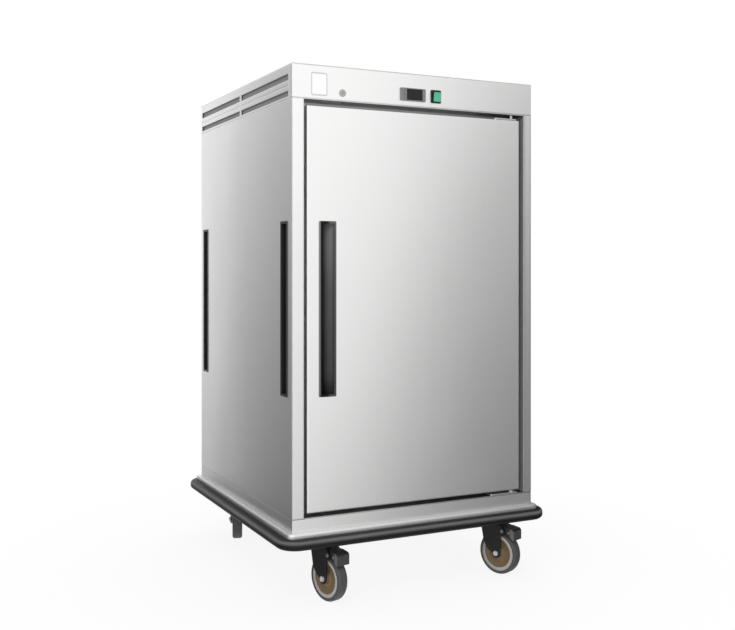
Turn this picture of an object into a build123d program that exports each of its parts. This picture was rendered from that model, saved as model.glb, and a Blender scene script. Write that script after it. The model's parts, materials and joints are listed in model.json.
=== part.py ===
from build123d import *
import os

os.makedirs("parts", exist_ok=True)

# Heated holding cabinet on four swivel casters, for double-size catering pans (650 x 530 mm).
# Millimetres. X points right, Y points back, Z points up.
# The origin is on the floor, under the middle of the cabinet.

# Body
BODY_W = 760
BODY_D = 820
BODY_H = 1240
BODY_Z = 200  # underside of the body
HOOD_H = 93  # control strip and vent bands, from the opening to the top
SHEET = 1.5
SEAM = 0.8  # open joint between two outer sheets
COVER_SEAM = 0.2  # joint under the top cover
EDGE_R = 1.2  # softened edge of an outer sheet

# Door opening and door
LEFT_POST = 34
RIGHT_POST = 26
SILL_H = 35
GAP_LEFT = 9
GAP_RIGHT = 13
GAP_TOP = 15
GAP_BOTTOM = 10
DOOR_T = 52
DOOR_SETBACK = 3  # door face behind the body's front face
DOOR_EDGE_R = 4  # outer bend of the door's skin
GASKET_T = 8
GASKET_W = 12
GASKET_INSET = 14
GASKET_CLEAR = 0.8
GASKET_R = 3

# Chamber
CHAMBER_W = 620
CHAMBER_D = 694
CHAMBER_R = 18
CHAMBER_INSET = 16  # chamber edge inside the gasket's outer edge, at top and bottom
LINER_SEAM = 0.2  # joint between two sheets of the liner

# Base, bumper and plinth
TRAY_OVERHANG = 16
TRAY_H = 40
TRAY_R = 16
TRAY_SHEET = 2
TRAY_EDGE_R = 7  # rounded top edge of the tray
BUMPER_T = 24
BUMPER_H = 28.5
BUMPER_DROP = 12.5  # bumper's top below the tray's top
BUMPER_R = 56
BUMPER_TOP_FILLET = 11
BUMPER_BOTTOM_FILLET = 12
RAIL_W = 104
RAIL_WALL = 2.5
CROSS_W = 50
CROSS_INSET = 51  # middle of a cross tube, inside the body's front or back

# Side vents, in heights above the body's underside
VENT_ROWS = ((1155, 1170), (1198, 1215))
VENT_FRONT = 28  # front end of the slots, behind the front face
VENT_REAR = 9
VENT_BRIDGE = 14
VENT_BRIDGE_Y = 8
CREASE_W = 3
CREASE_DEPTH = 0.7
FASCIA_RETURN = 23

# Recessed grips
GRIP_W = 51
GRIP_H = 471
GRIP_R = 3
GRIP_PROUD = 1.5
GRIP_LIP = 4  # flange that overlaps the sheet
GRIP_WALL = 2.5
GRIP_FIT = 0.2
GRIP_Z = 588.5  # middle, above the body's underside
HANDLE_DEPTH = 36
HANDLE_X = 103  # middle, from the body's left side
SIDE_GRIP_DEPTH = 21
SIDE_GRIP_FRONT = 59
SIDE_GRIP_REAR = 50

# Hinges
PIVOT_X = 700  # from the body's left side
PIVOT_DEPTH = 14  # behind the door's face
PIN_R = 5
RUN_FIT = 0.05
BUSH_R = 8
BUSH_L = 30
PIN_IN_DOOR = 23
BUSH_FIT = 0.1
COLLAR_R = 11
COLLAR_H = 3.2
COLLAR_GAP = 0.4
NOSE_R = 7
HINGE_PLATE_T = 4
PLATE_EDGE_R = 1.8  # softened top edge of a hinge plate
HINGE_PLATE_X = (-78, 18)  # from the pivot
HINGE_PLATE_Y = (5, 43)  # behind the front face
DOOR_PLATE_X = (-63, 15)
DOOR_PLATE_W = 24

# Control strip, places from the body's left side and above its underside
LOCK_X = 145.8
CONTROL_Z = 1181
LOCK_Z = 1169.6
LOCK_R = 8
LOCK_FLANGE_R = 10
LOCK_FLANGE_T = 2
LOCK_PLUG_R = 5
LOCK_L = 24
CAM_L = 47
CAM_W = 12
CAM_T = 3
CAM_ROOM = 3
CAM_GAP = 0.4
CAM_IN_DOOR = 14
KEYWAY = (1.6, 6, 8)
CONTROLLER_X = 361
CONTROLLER_W = 80
CONTROLLER_H = 36
CONTROLLER_PROUD = 4
CONTROLLER_BODY = (71, 29, 54)
WINDOW_X = 365.5
WINDOW_W = 50
WINDOW_H = 31
WINDOW_T = 1.5
KEY_X = 333
KEY_PITCH = 9.5
KEY_R = 3
KEY_FIT = 0.1
KEY_PROUD = 0.8
KEY_FLANGE_R = 4
KEY_FLANGE_T = 1
KEY_WALL = 1.5
KEY_ROOM = 2.2
SWITCH_X = 435
SWITCH_W = 33
SWITCH_H = 37
SWITCH_PROUD = 2.5
SWITCH_BODY = (29, 33, 32)
ROCKER_W = 23
ROCKER_H = 26
ROCKER_FRONT = 12
ROCKER_DIP = 1.5
ROCKER_TILT = 10
ROCKER_ROOM = 1.5
ROCKER_SIDE_GAP = 0.8
ROCKER_BELLY = 4
ROCKER_PIN_R = 1.5
ROCKER_PIN_L = 2
ROCKER_PIVOT_DEPTH = 3.5

# Chamber fittings
BAFFLE_DROP = 90
BAFFLE_W = 540
BAFFLE_MARGIN = 12
INTAKE_RINGS = ((6, 24), (12, 46), (18, 68))
INTAKE_R = 8
FAN_R = 80
FAN_EYE_R = 58
FAN_HUB_R = 14
FAN_BLADES = 12
FAN_BLADE_H = 30
FAN_DISC_T = 2
FAN_CLEAR = 18
SHAFT_R = 5
MOTOR_R = 52
MOTOR_H = 68
MOTOR_FLANGE_R = 66
MOTOR_FLANGE_T = 3
HEATER_RING_R = 125
HEATER_R = 4.25
HEATER_ARC = 330
PROBE_R = 3
PROBE_L = 62
PROBE_X = 281
PROBE_Y = 220
PASSAGE = 2  # room round whatever goes through the ceiling
FOAM_ROOM = 1
TAIL = 18  # length of heater and probe tails over the hood floor

# Tray racks
RUNNERS = 11
RUNNER_PITCH = 78
RUNNER_FIRST = 55  # lowest runner over the chamber floor
RUNNER_T = 2
RUNNER_DROP = 18
RUNNER_REACH = 51
RUNNER_MARGIN = 18
UPRIGHT_T = 12
UPRIGHT_W = 40
UPRIGHT_Y = 230
UPRIGHT_MARGIN = 20
RUNNER_PLAY = 0.1

# Power inlet
INLET_X = 130
INLET_Z = 1194
INLET_FLANGE = (58, 32, 2.5)
INLET_BODY = (48, 26, 24)
INLET_SOCKET = (27, 19, 15)
INLET_PIN = (2, 4, 9)
INLET_PIN_PITCH = 7
INLET_PIN_RISE = -3.5

# Casters
SWIVEL_INSET_X = 107
SWIVEL_INSET_Y = 56.5
TRAIL = 35
WHEEL_R = 62.5
TYRE_W = 32
TYRE_CROWN = 8
RIM_R = 52.5
RIM_INNER_R = 43
RIM_W = 28
WEB_W = 14
BOSS_R = 14
WHEEL_PLAY = 0.3
TYRE_FIT = 0.1
FORK_GAP = 37
FORK_T = 4
FORK_YOKE_Z = 140
FORK_TOP_Z = 145
FORK_LEAD = 24
FORK_TAIL = 14
FORK_NECK = (-16.5, 138)  # where the leading edge leaves the yoke
FORK_KNEE = (-10, 105)  # top of the curved leading edge
FORK_SHIN = (0.5, 79)  # a point on the curved leading edge
FORK_EAR = ((49, 112), (62, 120), (62, 134))  # outline of the ears that hold the pedal's pin
FORK_YOKE_TAIL = 28
RACE_R = 31
RACE_TOP_Z = 149
RACE_GAP = 0.4
PLATE_T = 5
PLATE_W = 85
PLATE_L = 100
PLATE_R = 6
KINGPIN_R = 8
KINGPIN_NUT_R = 13
KINGPIN_NUT_H = 8
BOLT_R = 4
BOLT_FIT = 0.2
AXLE_FIT = 0.1
BOLT_HEAD_R = 6.5
BOLT_HEAD_H = 5
BOLT_L = 14
BOLT_SPACING = (60, 80)
AXLE_R = 5
AXLE_HEAD_R = 7.5
AXLE_HEAD_H = 5

# Brake pedals, in places along the trail and heights over the floor
PEDAL_PIVOT = (54, 130)
PEDAL_PIN_R = 3
PEDAL_HUB_R = 5.5
PEDAL_W = 36
PEDAL_HEAD_W = 42
PEDAL_T = 2.5
PEDAL_REAR = 48
PEDAL_HEAD = 66  # where the head widens
PEDAL_FACE = 94.5
PEDAL_REAR_Z = 146  # top at the rear, from where it slopes to the bend
PEDAL_TOP_Z = 138.5
PEDAL_SKIRT_Z = 107
PEDAL_BEND = 5  # sloping edge between the top and the front face
PEDAL_CHEEK = ((80, 115.5), (66, 121), (62, 122.5), (48, 127))  # lower edge of the cheeks
PEDAL_SHOE = ((65, 123.5), (70, 119.8), (75, 121))
PEDAL_SHOE_W = 28

# Caster corners, with the way that each wheel trails, in degrees from +X
CASTERS = {
    "front_left": (-1, -1, 285.5),
    "front_right": (1, -1, 294),
    "rear_left": (-1, 1, 251.3),
    "rear_right": (1, 1, 280),
}
BRAKED = ("front_left", "front_right")

# Limits of the body
LEFT = -BODY_W / 2
RIGHT = BODY_W / 2
FRONT = -BODY_D / 2
BACK = BODY_D / 2
TOP = BODY_Z + BODY_H

# Limits of the opening, the door and the chamber
OPEN_X = (LEFT + LEFT_POST, RIGHT - RIGHT_POST)
OPEN_Z = (BODY_Z + SILL_H, TOP - HOOD_H)
DOOR_X = (OPEN_X[0] + GAP_LEFT, OPEN_X[1] - GAP_RIGHT)
DOOR_Z = (OPEN_Z[0] + GAP_BOTTOM, OPEN_Z[1] - GAP_TOP)
DOOR_Y = (FRONT + DOOR_SETBACK, FRONT + DOOR_SETBACK + DOOR_T)
PIVOT = (LEFT + PIVOT_X, DOOR_Y[0] + PIVOT_DEPTH)
GASKET_Z = (DOOR_Z[0] + GASKET_INSET, DOOR_Z[1] - GASKET_INSET)
GASKET_X = (-CHAMBER_W / 2 - GASKET_INSET, CHAMBER_W / 2 + CHAMBER_INSET)
FLANGE_Y = DOOR_Y[1] + GASKET_T + GASKET_CLEAR
CHAMBER_X = (-CHAMBER_W / 2, CHAMBER_W / 2)
CHAMBER_Z = (GASKET_Z[0] + CHAMBER_INSET, GASKET_Z[1] - CHAMBER_INSET)
CHAMBER_Y = (FLANGE_Y, FLANGE_Y + CHAMBER_D)
CHAMBER_H = CHAMBER_Z[1] - CHAMBER_Z[0]
HOOD_FLOOR_Z = OPEN_Z[1] + SHEET
HOOD_Z = HOOD_FLOOR_Z + SHEET
PLINTH_TOP = OPEN_Z[0] - SHEET - SEAM
SIDE_Z = (PLINTH_TOP + SEAM, HOOD_FLOOR_Z - SEAM)
COVER_Z = TOP - SHEET
VENT_Z = (HOOD_FLOOR_Z, COVER_Z - COVER_SEAM)
VENT_Y = (FRONT + FASCIA_RETURN + SEAM, BACK - SHEET)

# Base and casters
TRAY_Z = BODY_Z - TRAY_H
TRAY_W = BODY_W + 2 * TRAY_OVERHANG
TRAY_D = BODY_D + 2 * TRAY_OVERHANG
BUMPER_Z = BODY_Z - BUMPER_DROP - BUMPER_H
SWIVEL_X = RIGHT - SWIVEL_INSET_X
SWIVEL_Y = BACK - SWIVEL_INSET_Y
PLATE_Z = TRAY_Z - PLATE_T
FORK_W = FORK_GAP + 2 * FORK_T


def block(x, y, z, mode=Mode.ADD):
    """A box between two limits along each axis."""
    centre = [(low + high) / 2 for low, high in (x, y, z)]
    with Locations(tuple(centre)):
        Box(x[1] - x[0], y[1] - y[0], z[1] - z[0], mode=mode)


def post(x, y, radius, z, mode=Mode.ADD):
    """An upright cylinder between two heights."""
    with Locations((x, y, (z[0] + z[1]) / 2)):
        Cylinder(radius, z[1] - z[0], mode=mode)


def peg(x, z, radius, y, mode=Mode.ADD):
    """A cylinder that lies along Y between two depths."""
    with Locations((x, (y[0] + y[1]) / 2, z)):
        Cylinder(radius, y[1] - y[0], rotation=(90, 0, 0), mode=mode)


def facing(y):
    """An upright plane at a depth, looking to the front, with X to the right and Z up."""
    return Plane.XZ.offset(-y)


def about(centre, width):
    """Limits of a width about its middle."""
    return (centre - width / 2, centre + width / 2)


def inside(limits, amount):
    """Limits drawn in by an amount at both ends."""
    return (limits[0] + amount, limits[1] - amount)


def middle(limits):
    """The middle of two limits."""
    return (limits[0] + limits[1]) / 2


def span(limits):
    """The distance between two limits."""
    return limits[1] - limits[0]


def save(part, name):
    """Label a finished piece and write it."""
    part.label = name
    export_step(part, f"parts/{name}.step")


# Base tray: a sheet with a rounded outline and a turned-down skirt
with BuildPart() as base_tray:
    with BuildSketch(Plane.XY.offset(TRAY_Z)):
        RectangleRounded(TRAY_W, TRAY_D, TRAY_R)
    extrude(amount=TRAY_H)
    fillet(base_tray.faces().sort_by(Axis.Z)[-1].edges(), TRAY_EDGE_R)
    offset(amount=-TRAY_SHEET, openings=base_tray.faces().sort_by(Axis.Z)[0])
save(base_tray.part, "base_tray")

# Bumper: a rounded strip round the skirt
with BuildPart() as bumper:
    with BuildSketch(Plane.XY.offset(BUMPER_Z)):
        RectangleRounded(TRAY_W + 2 * BUMPER_T, TRAY_D + 2 * BUMPER_T, BUMPER_R)
        RectangleRounded(TRAY_W, TRAY_D, TRAY_R, mode=Mode.SUBTRACT)
    extrude(amount=BUMPER_H)
    fillet(bumper.faces().sort_by(Axis.Z)[-1].outer_wire().edges(), BUMPER_TOP_FILLET)
    fillet(bumper.faces().sort_by(Axis.Z)[0].outer_wire().edges(), BUMPER_BOTTOM_FILLET)
save(bumper.part, "bumper")

# Base frame: two hollow rails over the casters, joined by two cross tubes
rail_z = (TRAY_Z, BODY_Z - TRAY_SHEET)
rail_y = inside((-TRAY_D / 2, TRAY_D / 2), TRAY_EDGE_R + TRAY_SHEET)
cross_y = BACK - CROSS_INSET
with BuildPart() as base_frame:
    for side in (-1, 1):
        block(about(side * SWIVEL_X, RAIL_W), rail_y, rail_z)
    for end in (-1, 1):
        block((-SWIVEL_X, SWIVEL_X), about(end * cross_y, CROSS_W), rail_z)
    for end in (-1, 1):
        hollow_y = inside(about(end * cross_y, CROSS_W), RAIL_WALL)
        block((-SWIVEL_X, SWIVEL_X), hollow_y, inside(rail_z, RAIL_WALL), mode=Mode.SUBTRACT)
    for side in (-1, 1):
        hollow_x = inside(about(side * SWIVEL_X, RAIL_W), RAIL_WALL)
        block(hollow_x, rail_y, inside(rail_z, RAIL_WALL), mode=Mode.SUBTRACT)
    with Locations((0, 0, TRAY_Z)):
        with GridLocations(2 * SWIVEL_X, 2 * SWIVEL_Y, 2, 2):
            with GridLocations(*BOLT_SPACING, 2, 2):
                Cylinder(BOLT_R + BOLT_FIT, 4 * RAIL_WALL, mode=Mode.SUBTRACT)
save(base_frame.part, "base_frame")

# Plinth: a shallow pan that the body stands in
with BuildPart() as plinth:
    block((LEFT, RIGHT), (FRONT, BACK), (BODY_Z, PLINTH_TOP))
    fillet(plinth.edges().filter_by(Axis.Z) + plinth.faces().sort_by(Axis.Z)[-1].edges(), EDGE_R)
    block(inside((LEFT, RIGHT), SHEET), inside((FRONT, BACK), SHEET), (BODY_Z + SHEET, PLINTH_TOP),
          mode=Mode.SUBTRACT)
save(plinth.part, "plinth")


def grip_face(side, y):
    """The plane of a side panel where a grip sits, looking outwards."""
    x = RIGHT if side > 0 else LEFT
    return Plane(origin=(x, y, BODY_Z + GRIP_Z), x_dir=(0, side, 0), z_dir=(side, 0, 0))


def recessed_grip(face, depth):
    """A cup let into a sheet: a thin flange outside, and a pocket with one sloping wall."""
    hole_w = GRIP_W - 2 * GRIP_LIP
    hole_h = GRIP_H - 2 * GRIP_LIP
    pocket_h = hole_h - 2 * GRIP_WALL
    foot = Plane(face.origin - face.y_dir * (pocket_h / 2), x_dir=face.x_dir, z_dir=face.y_dir)
    edge = hole_w / 2 - GRIP_WALL
    floor = depth - GRIP_WALL
    mouth = -2 * GRIP_PROUD
    hook = GRIP_LIP + GRIP_WALL
    with BuildPart() as cup:
        with BuildSketch(face):
            RectangleRounded(GRIP_W, GRIP_H, GRIP_R)
        extrude(amount=GRIP_PROUD)
        flange = cup.faces().sort_by(Axis(face.origin, face.z_dir))[-1]
        fillet(flange.edges(), GRIP_PROUD / 2)
        with BuildSketch(face):
            Rectangle(hole_w - 2 * GRIP_FIT, hole_h - 2 * GRIP_FIT)
        extrude(amount=-depth)
        with BuildSketch(foot):
            with BuildLine():
                Polyline(
                    (GRIP_WALL - edge, mouth),
                    (GRIP_WALL - edge, hook),
                    (-edge, hook + GRIP_WALL),
                    (-edge, floor),
                    (-edge / 3, floor),
                    (edge, GRIP_WALL),
                    (edge, mouth),
                    close=True,
                )
            make_face()
        extrude(amount=pocket_h, mode=Mode.SUBTRACT)
    return cup.part


# Side panels: flat sheets with two cut-outs each for the grips
side_grip_y = (FRONT + SIDE_GRIP_FRONT, BACK - SIDE_GRIP_REAR)
side_y = (FRONT + SHEET, BACK - SHEET)
side_sheet = {"left": (LEFT, LEFT + SHEET), "right": (RIGHT - SHEET, RIGHT)}
for name, sheet_x in side_sheet.items():
    with BuildPart() as side_panel:
        block(sheet_x, side_y, SIDE_Z)
        for grip_y in side_grip_y:
            block(sheet_x, about(grip_y, GRIP_W - 2 * GRIP_LIP),
                  about(BODY_Z + GRIP_Z, GRIP_H - 2 * GRIP_LIP), mode=Mode.SUBTRACT)
    save(side_panel.part, f"{name}_side_panel")

# Side grips: two in each side panel
with BuildPart() as side_grips:
    for side in (-1, 1):
        for grip_y in side_grip_y:
            add(recessed_grip(grip_face(side, grip_y), SIDE_GRIP_DEPTH))
save(side_grips.part, "side_grips")

# Back panel: one sheet up to the top cover, with a cut-out for the power inlet
inlet = (LEFT + INLET_X, BODY_Z + INLET_Z)
with BuildPart() as back_panel:
    block((LEFT, RIGHT), (BACK - SHEET, BACK), (SIDE_Z[0], VENT_Z[1]))
    fillet(back_panel.faces().sort_by(Axis.Y)[-1].edges().filter_by(Axis.Z), EDGE_R)
    block(about(inlet[0], INLET_BODY[0]), (BACK - SHEET, BACK), about(inlet[1], INLET_BODY[1]),
          mode=Mode.SUBTRACT)
save(back_panel.part, "back_panel")

# Power inlet: a recessed socket with three flat pins
inlet_floor = BACK + INLET_FLANGE[2] - INLET_SOCKET[2]
with BuildPart() as power_inlet:
    block(about(inlet[0], INLET_FLANGE[0]), (BACK, BACK + INLET_FLANGE[2]), about(inlet[1], INLET_FLANGE[1]))
    fillet(power_inlet.edges().filter_by(Axis.Y), GRIP_R)
    block(about(inlet[0], INLET_BODY[0] - 2 * GRIP_FIT), (BACK - INLET_BODY[2], BACK),
          about(inlet[1], INLET_BODY[1] - 2 * GRIP_FIT))
    block(about(inlet[0], INLET_SOCKET[0]), (inlet_floor, BACK + INLET_FLANGE[2]),
          about(inlet[1], INLET_SOCKET[1]), mode=Mode.SUBTRACT)
    for step in (-1, 0, 1):
        block(about(inlet[0] + step * INLET_PIN_PITCH, INLET_PIN[0]),
              (inlet_floor, inlet_floor + INLET_PIN[2]), about(inlet[1] + INLET_PIN_RISE, INLET_PIN[1]))
save(power_inlet.part, "power_inlet")

# Vent panels: two rows of long slots, split by a bridge, and a crease between the rows
slot_spans = (
    (FRONT + VENT_FRONT, VENT_BRIDGE_Y - VENT_BRIDGE / 2),
    (VENT_BRIDGE_Y + VENT_BRIDGE / 2, BACK - VENT_REAR),
)
crease_z = BODY_Z + (VENT_ROWS[0][1] + VENT_ROWS[1][0]) / 2
crease_x = {"left": (LEFT, LEFT + CREASE_DEPTH), "right": (RIGHT - CREASE_DEPTH, RIGHT)}
for name, sheet_x in side_sheet.items():
    with BuildPart() as vent_panel:
        block(sheet_x, VENT_Y, VENT_Z)
        for slot_y in slot_spans:
            for row in VENT_ROWS:
                block(sheet_x, slot_y, (BODY_Z + row[0], BODY_Z + row[1]), mode=Mode.SUBTRACT)
            block(crease_x[name], slot_y, about(crease_z, CREASE_W), mode=Mode.SUBTRACT)
    save(vent_panel.part, f"{name}_vent_panel")

# Top cover: a flat sheet
with BuildPart() as top_cover:
    block((LEFT, RIGHT), (FRONT, BACK), (COVER_Z, TOP))
    fillet(top_cover.edges().filter_by(Axis.Z), EDGE_R)
    fillet(top_cover.faces().sort_by(Axis.Z)[-1].edges(), EDGE_R)
save(top_cover.part, "top_cover")

# Places on the control strip
lock = (LEFT + LOCK_X, BODY_Z + LOCK_Z)
controller = (LEFT + CONTROLLER_X, BODY_Z + CONTROL_Z)
switch = (LEFT + SWITCH_X, BODY_Z + CONTROL_Z)
lock_back = FRONT + LOCK_L
cam_y = (lock_back, lock_back + CAM_T)
cam_slot_x = (lock[0] - CAM_L - CAM_ROOM, lock[0] + CAM_W / 2 + CAM_ROOM)
cam_slot_y = (cam_y[0] - CAM_ROOM, cam_y[1] + CAM_ROOM)

# Door frame: two folded posts, joined by a head and a sill
post_z = (OPEN_Z[0] - SHEET, OPEN_Z[1] + SHEET)
with BuildPart() as door_frame:
    for outer, inner, turn in ((LEFT, OPEN_X[0], -SHEET), (RIGHT, OPEN_X[1], SHEET)):
        with BuildSketch(Plane.XY.offset(post_z[0])):
            with BuildLine():
                Polyline(
                    (outer, FRONT),
                    (inner, FRONT),
                    (inner, FLANGE_Y),
                    (inner + turn, FLANGE_Y),
                    (inner + turn, FRONT + SHEET),
                    (outer, FRONT + SHEET),
                    close=True,
                )
            make_face()
        extrude(amount=span(post_z))
    front_edges = door_frame.edges().filter_by(Axis.Z).group_by(Axis.Y)[0]
    fillet(front_edges, EDGE_R)
    block(OPEN_X, (FRONT, FLANGE_Y), (OPEN_Z[1], OPEN_Z[1] + SHEET))
    block(OPEN_X, (FRONT, FLANGE_Y), (OPEN_Z[0] - SHEET, OPEN_Z[0]))
    block(cam_slot_x, cam_slot_y, (OPEN_Z[1], OPEN_Z[1] + SHEET), mode=Mode.SUBTRACT)
    post(*PIVOT, PIN_R + BUSH_FIT, (OPEN_Z[1], OPEN_Z[1] + SHEET), mode=Mode.SUBTRACT)
save(door_frame.part, "door_frame")

# Control fascia: a sheet with two side returns, and cut-outs for the controls
fascia_z = (HOOD_FLOOR_Z + SEAM, COVER_Z - COVER_SEAM)
with BuildPart() as control_fascia:
    block((LEFT, RIGHT), (FRONT, FRONT + FASCIA_RETURN), fascia_z)
    fillet(control_fascia.edges().filter_by(Axis.Z).group_by(Axis.Y)[0], EDGE_R)
    block(inside((LEFT, RIGHT), SHEET), (FRONT + SHEET, FRONT + FASCIA_RETURN), fascia_z,
          mode=Mode.SUBTRACT)
    fascia_y = (FRONT, FRONT + SHEET)
    peg(*lock, LOCK_R, fascia_y, mode=Mode.SUBTRACT)
    block(about(controller[0], CONTROLLER_BODY[0]), fascia_y, about(controller[1], CONTROLLER_BODY[1]),
          mode=Mode.SUBTRACT)
    block(about(switch[0], SWITCH_BODY[0]), fascia_y, about(switch[1], SWITCH_BODY[1]), mode=Mode.SUBTRACT)
save(control_fascia.part, "control_fascia")

# Key lock: a flanged barrel, and a plug with its keyway and the cam that drops into the door
with BuildPart() as lock_barrel:
    peg(*lock, LOCK_FLANGE_R, (FRONT - LOCK_FLANGE_T, FRONT))
    fillet(lock_barrel.faces().sort_by(Axis.Y)[0].edges(), LOCK_FLANGE_T / 2)
    peg(*lock, LOCK_R - GRIP_FIT, (FRONT, lock_back - CAM_GAP))
    peg(*lock, LOCK_PLUG_R + RUN_FIT, (FRONT - LOCK_FLANGE_T, lock_back), mode=Mode.SUBTRACT)
save(lock_barrel.part, "lock_barrel")

with BuildPart() as lock_plug:
    peg(*lock, LOCK_PLUG_R, (FRONT - LOCK_FLANGE_T, lock_back + CAM_T))
    block(about(lock[0], KEYWAY[0]), (FRONT - LOCK_FLANGE_T, FRONT + KEYWAY[2]), about(lock[1], KEYWAY[1]),
          mode=Mode.SUBTRACT)
    with BuildSketch(facing(cam_y[0])):
        with Locations((lock[0] - CAM_L / 2 + CAM_W / 4, lock[1])):
            SlotOverall(CAM_L + CAM_W / 2, CAM_W)
    extrude(amount=-CAM_T)
save(lock_plug.part, "lock_plug")

# Controller: a bezel, a case behind the fascia, a dark window and three keys
bezel_y = (FRONT - CONTROLLER_PROUD, FRONT)
window_x = LEFT + WINDOW_X
key_x = LEFT + KEY_X
key_wall_y = bezel_y[0] + KEY_WALL
key_back = key_wall_y + KEY_ROOM
with BuildPart() as controller_body:
    block(about(controller[0], CONTROLLER_W), bezel_y, about(controller[1], CONTROLLER_H))
    fillet(controller_body.edges().filter_by(Axis.Y), GRIP_R)
    fillet(controller_body.faces().sort_by(Axis.Y)[0].edges(), EDGE_R)
    block(about(controller[0], CONTROLLER_BODY[0] - 2 * GRIP_FIT), (FRONT, FRONT + CONTROLLER_BODY[2]),
          about(controller[1], CONTROLLER_BODY[1] - 2 * GRIP_FIT))
    block(about(window_x, WINDOW_W), (bezel_y[0], bezel_y[0] + WINDOW_T), about(controller[1], WINDOW_H),
          mode=Mode.SUBTRACT)
    for step in (-1, 0, 1):
        key_z = controller[1] + step * KEY_PITCH
        peg(key_x, key_z, KEY_R + KEY_FIT, (bezel_y[0], key_wall_y), mode=Mode.SUBTRACT)
        peg(key_x, key_z, KEY_FLANGE_R + KEY_FIT, (key_wall_y, key_back), mode=Mode.SUBTRACT)
save(controller_body.part, "controller_body")

with BuildPart() as controller_window:
    block(about(window_x, WINDOW_W - 2 * GRIP_FIT), (bezel_y[0] + GRIP_FIT, bezel_y[0] + WINDOW_T),
          about(controller[1], WINDOW_H - 2 * GRIP_FIT))
save(controller_window.part, "controller_window")

for step, name in ((1, "up_key"), (0, "set_key"), (-1, "down_key")):
    key_z = controller[1] + step * KEY_PITCH
    with BuildPart() as key:
        peg(key_x, key_z, KEY_R, (bezel_y[0] - KEY_PROUD, key_wall_y + KEY_FIT))
        fillet(key.faces().sort_by(Axis.Y)[0].edges(), KEY_PROUD / 2)
        peg(key_x, key_z, KEY_FLANGE_R, (key_wall_y + KEY_FIT, key_wall_y + KEY_FIT + KEY_FLANGE_T))
    save(key.part, name)

# Rocker switch: a frame with its case, and a rocker that rests with one end pressed in
rocker_pivot_y = FRONT - SWITCH_PROUD + ROCKER_PIVOT_DEPTH
pocket_back = rocker_pivot_y + ROCKER_BELLY + 2 * ROCKER_ROOM
with BuildPart() as switch_frame:
    block(about(switch[0], SWITCH_W), (FRONT - SWITCH_PROUD, FRONT), about(switch[1], SWITCH_H))
    fillet(switch_frame.edges().filter_by(Axis.Y), GRIP_R)
    fillet(switch_frame.faces().sort_by(Axis.Y)[0].edges(), EDGE_R)
    block(about(switch[0], SWITCH_BODY[0] - 2 * GRIP_FIT), (FRONT, FRONT + SWITCH_BODY[2]),
          about(switch[1], SWITCH_BODY[1] - 2 * GRIP_FIT))
    block(about(switch[0], ROCKER_W + ROCKER_SIDE_GAP), (FRONT - SWITCH_PROUD, pocket_back),
          about(switch[1], ROCKER_H + 2 * ROCKER_ROOM), mode=Mode.SUBTRACT)
    with Locations((switch[0], rocker_pivot_y, switch[1])):
        Cylinder(ROCKER_PIN_R + RUN_FIT, ROCKER_W + 2 * ROCKER_PIN_L, rotation=(0, 90, 0), mode=Mode.SUBTRACT)
save(switch_frame.part, "switch_frame")

rocker_rise = Vector(0, 0, 1).rotate(Axis.X, ROCKER_TILT)
rocker_plane = Plane((switch[0], rocker_pivot_y, switch[1]), x_dir=rocker_rise, z_dir=(1, 0, 0))
with BuildPart() as switch_rocker:
    with BuildSketch(rocker_plane):
        with BuildLine():
            Polyline(
                (-ROCKER_H / 2, 0),
                (-ROCKER_H / 2, ROCKER_FRONT),
                (0, ROCKER_FRONT - ROCKER_DIP),
                (ROCKER_H / 2, ROCKER_FRONT),
                (ROCKER_H / 2, 0),
                (0, -ROCKER_BELLY),
                close=True,
            )
        make_face()
    extrude(amount=ROCKER_W / 2, both=True)
    with Locations((switch[0], rocker_pivot_y, switch[1])):
        Cylinder(ROCKER_PIN_R, ROCKER_W + 2 * ROCKER_PIN_L - ROCKER_SIDE_GAP, rotation=(0, 90, 0))
save(switch_rocker.part, "switch_rocker")

# Hood floor: a sheet over the insulation that carries the motor
heater_legs = [(HEATER_RING_R, 0)]
heater_legs.append(tuple(Vector(HEATER_RING_R, 0, 0).rotate(Axis.Z, HEATER_ARC))[:2])
passages = [(x, y, HEATER_R + PASSAGE) for x, y in heater_legs]
passages.append((PROBE_X, PROBE_Y, PROBE_R + PASSAGE))
passages.append((0, 0, FAN_HUB_R + PASSAGE))
with BuildPart() as hood_floor:
    block(inside((LEFT, RIGHT), SHEET), inside((FRONT, BACK), SHEET), (HOOD_FLOOR_Z, HOOD_Z))
    for x, y, radius in passages:
        post(x, y, radius, (HOOD_FLOOR_Z, HOOD_Z), mode=Mode.SUBTRACT)
    block(cam_slot_x, cam_slot_y, (HOOD_FLOOR_Z, HOOD_Z), mode=Mode.SUBTRACT)
    post(*PIVOT, PIN_R + BUSH_FIT, (HOOD_FLOOR_Z, HOOD_Z), mode=Mode.SUBTRACT)
save(hood_floor.part, "hood_floor")

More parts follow.
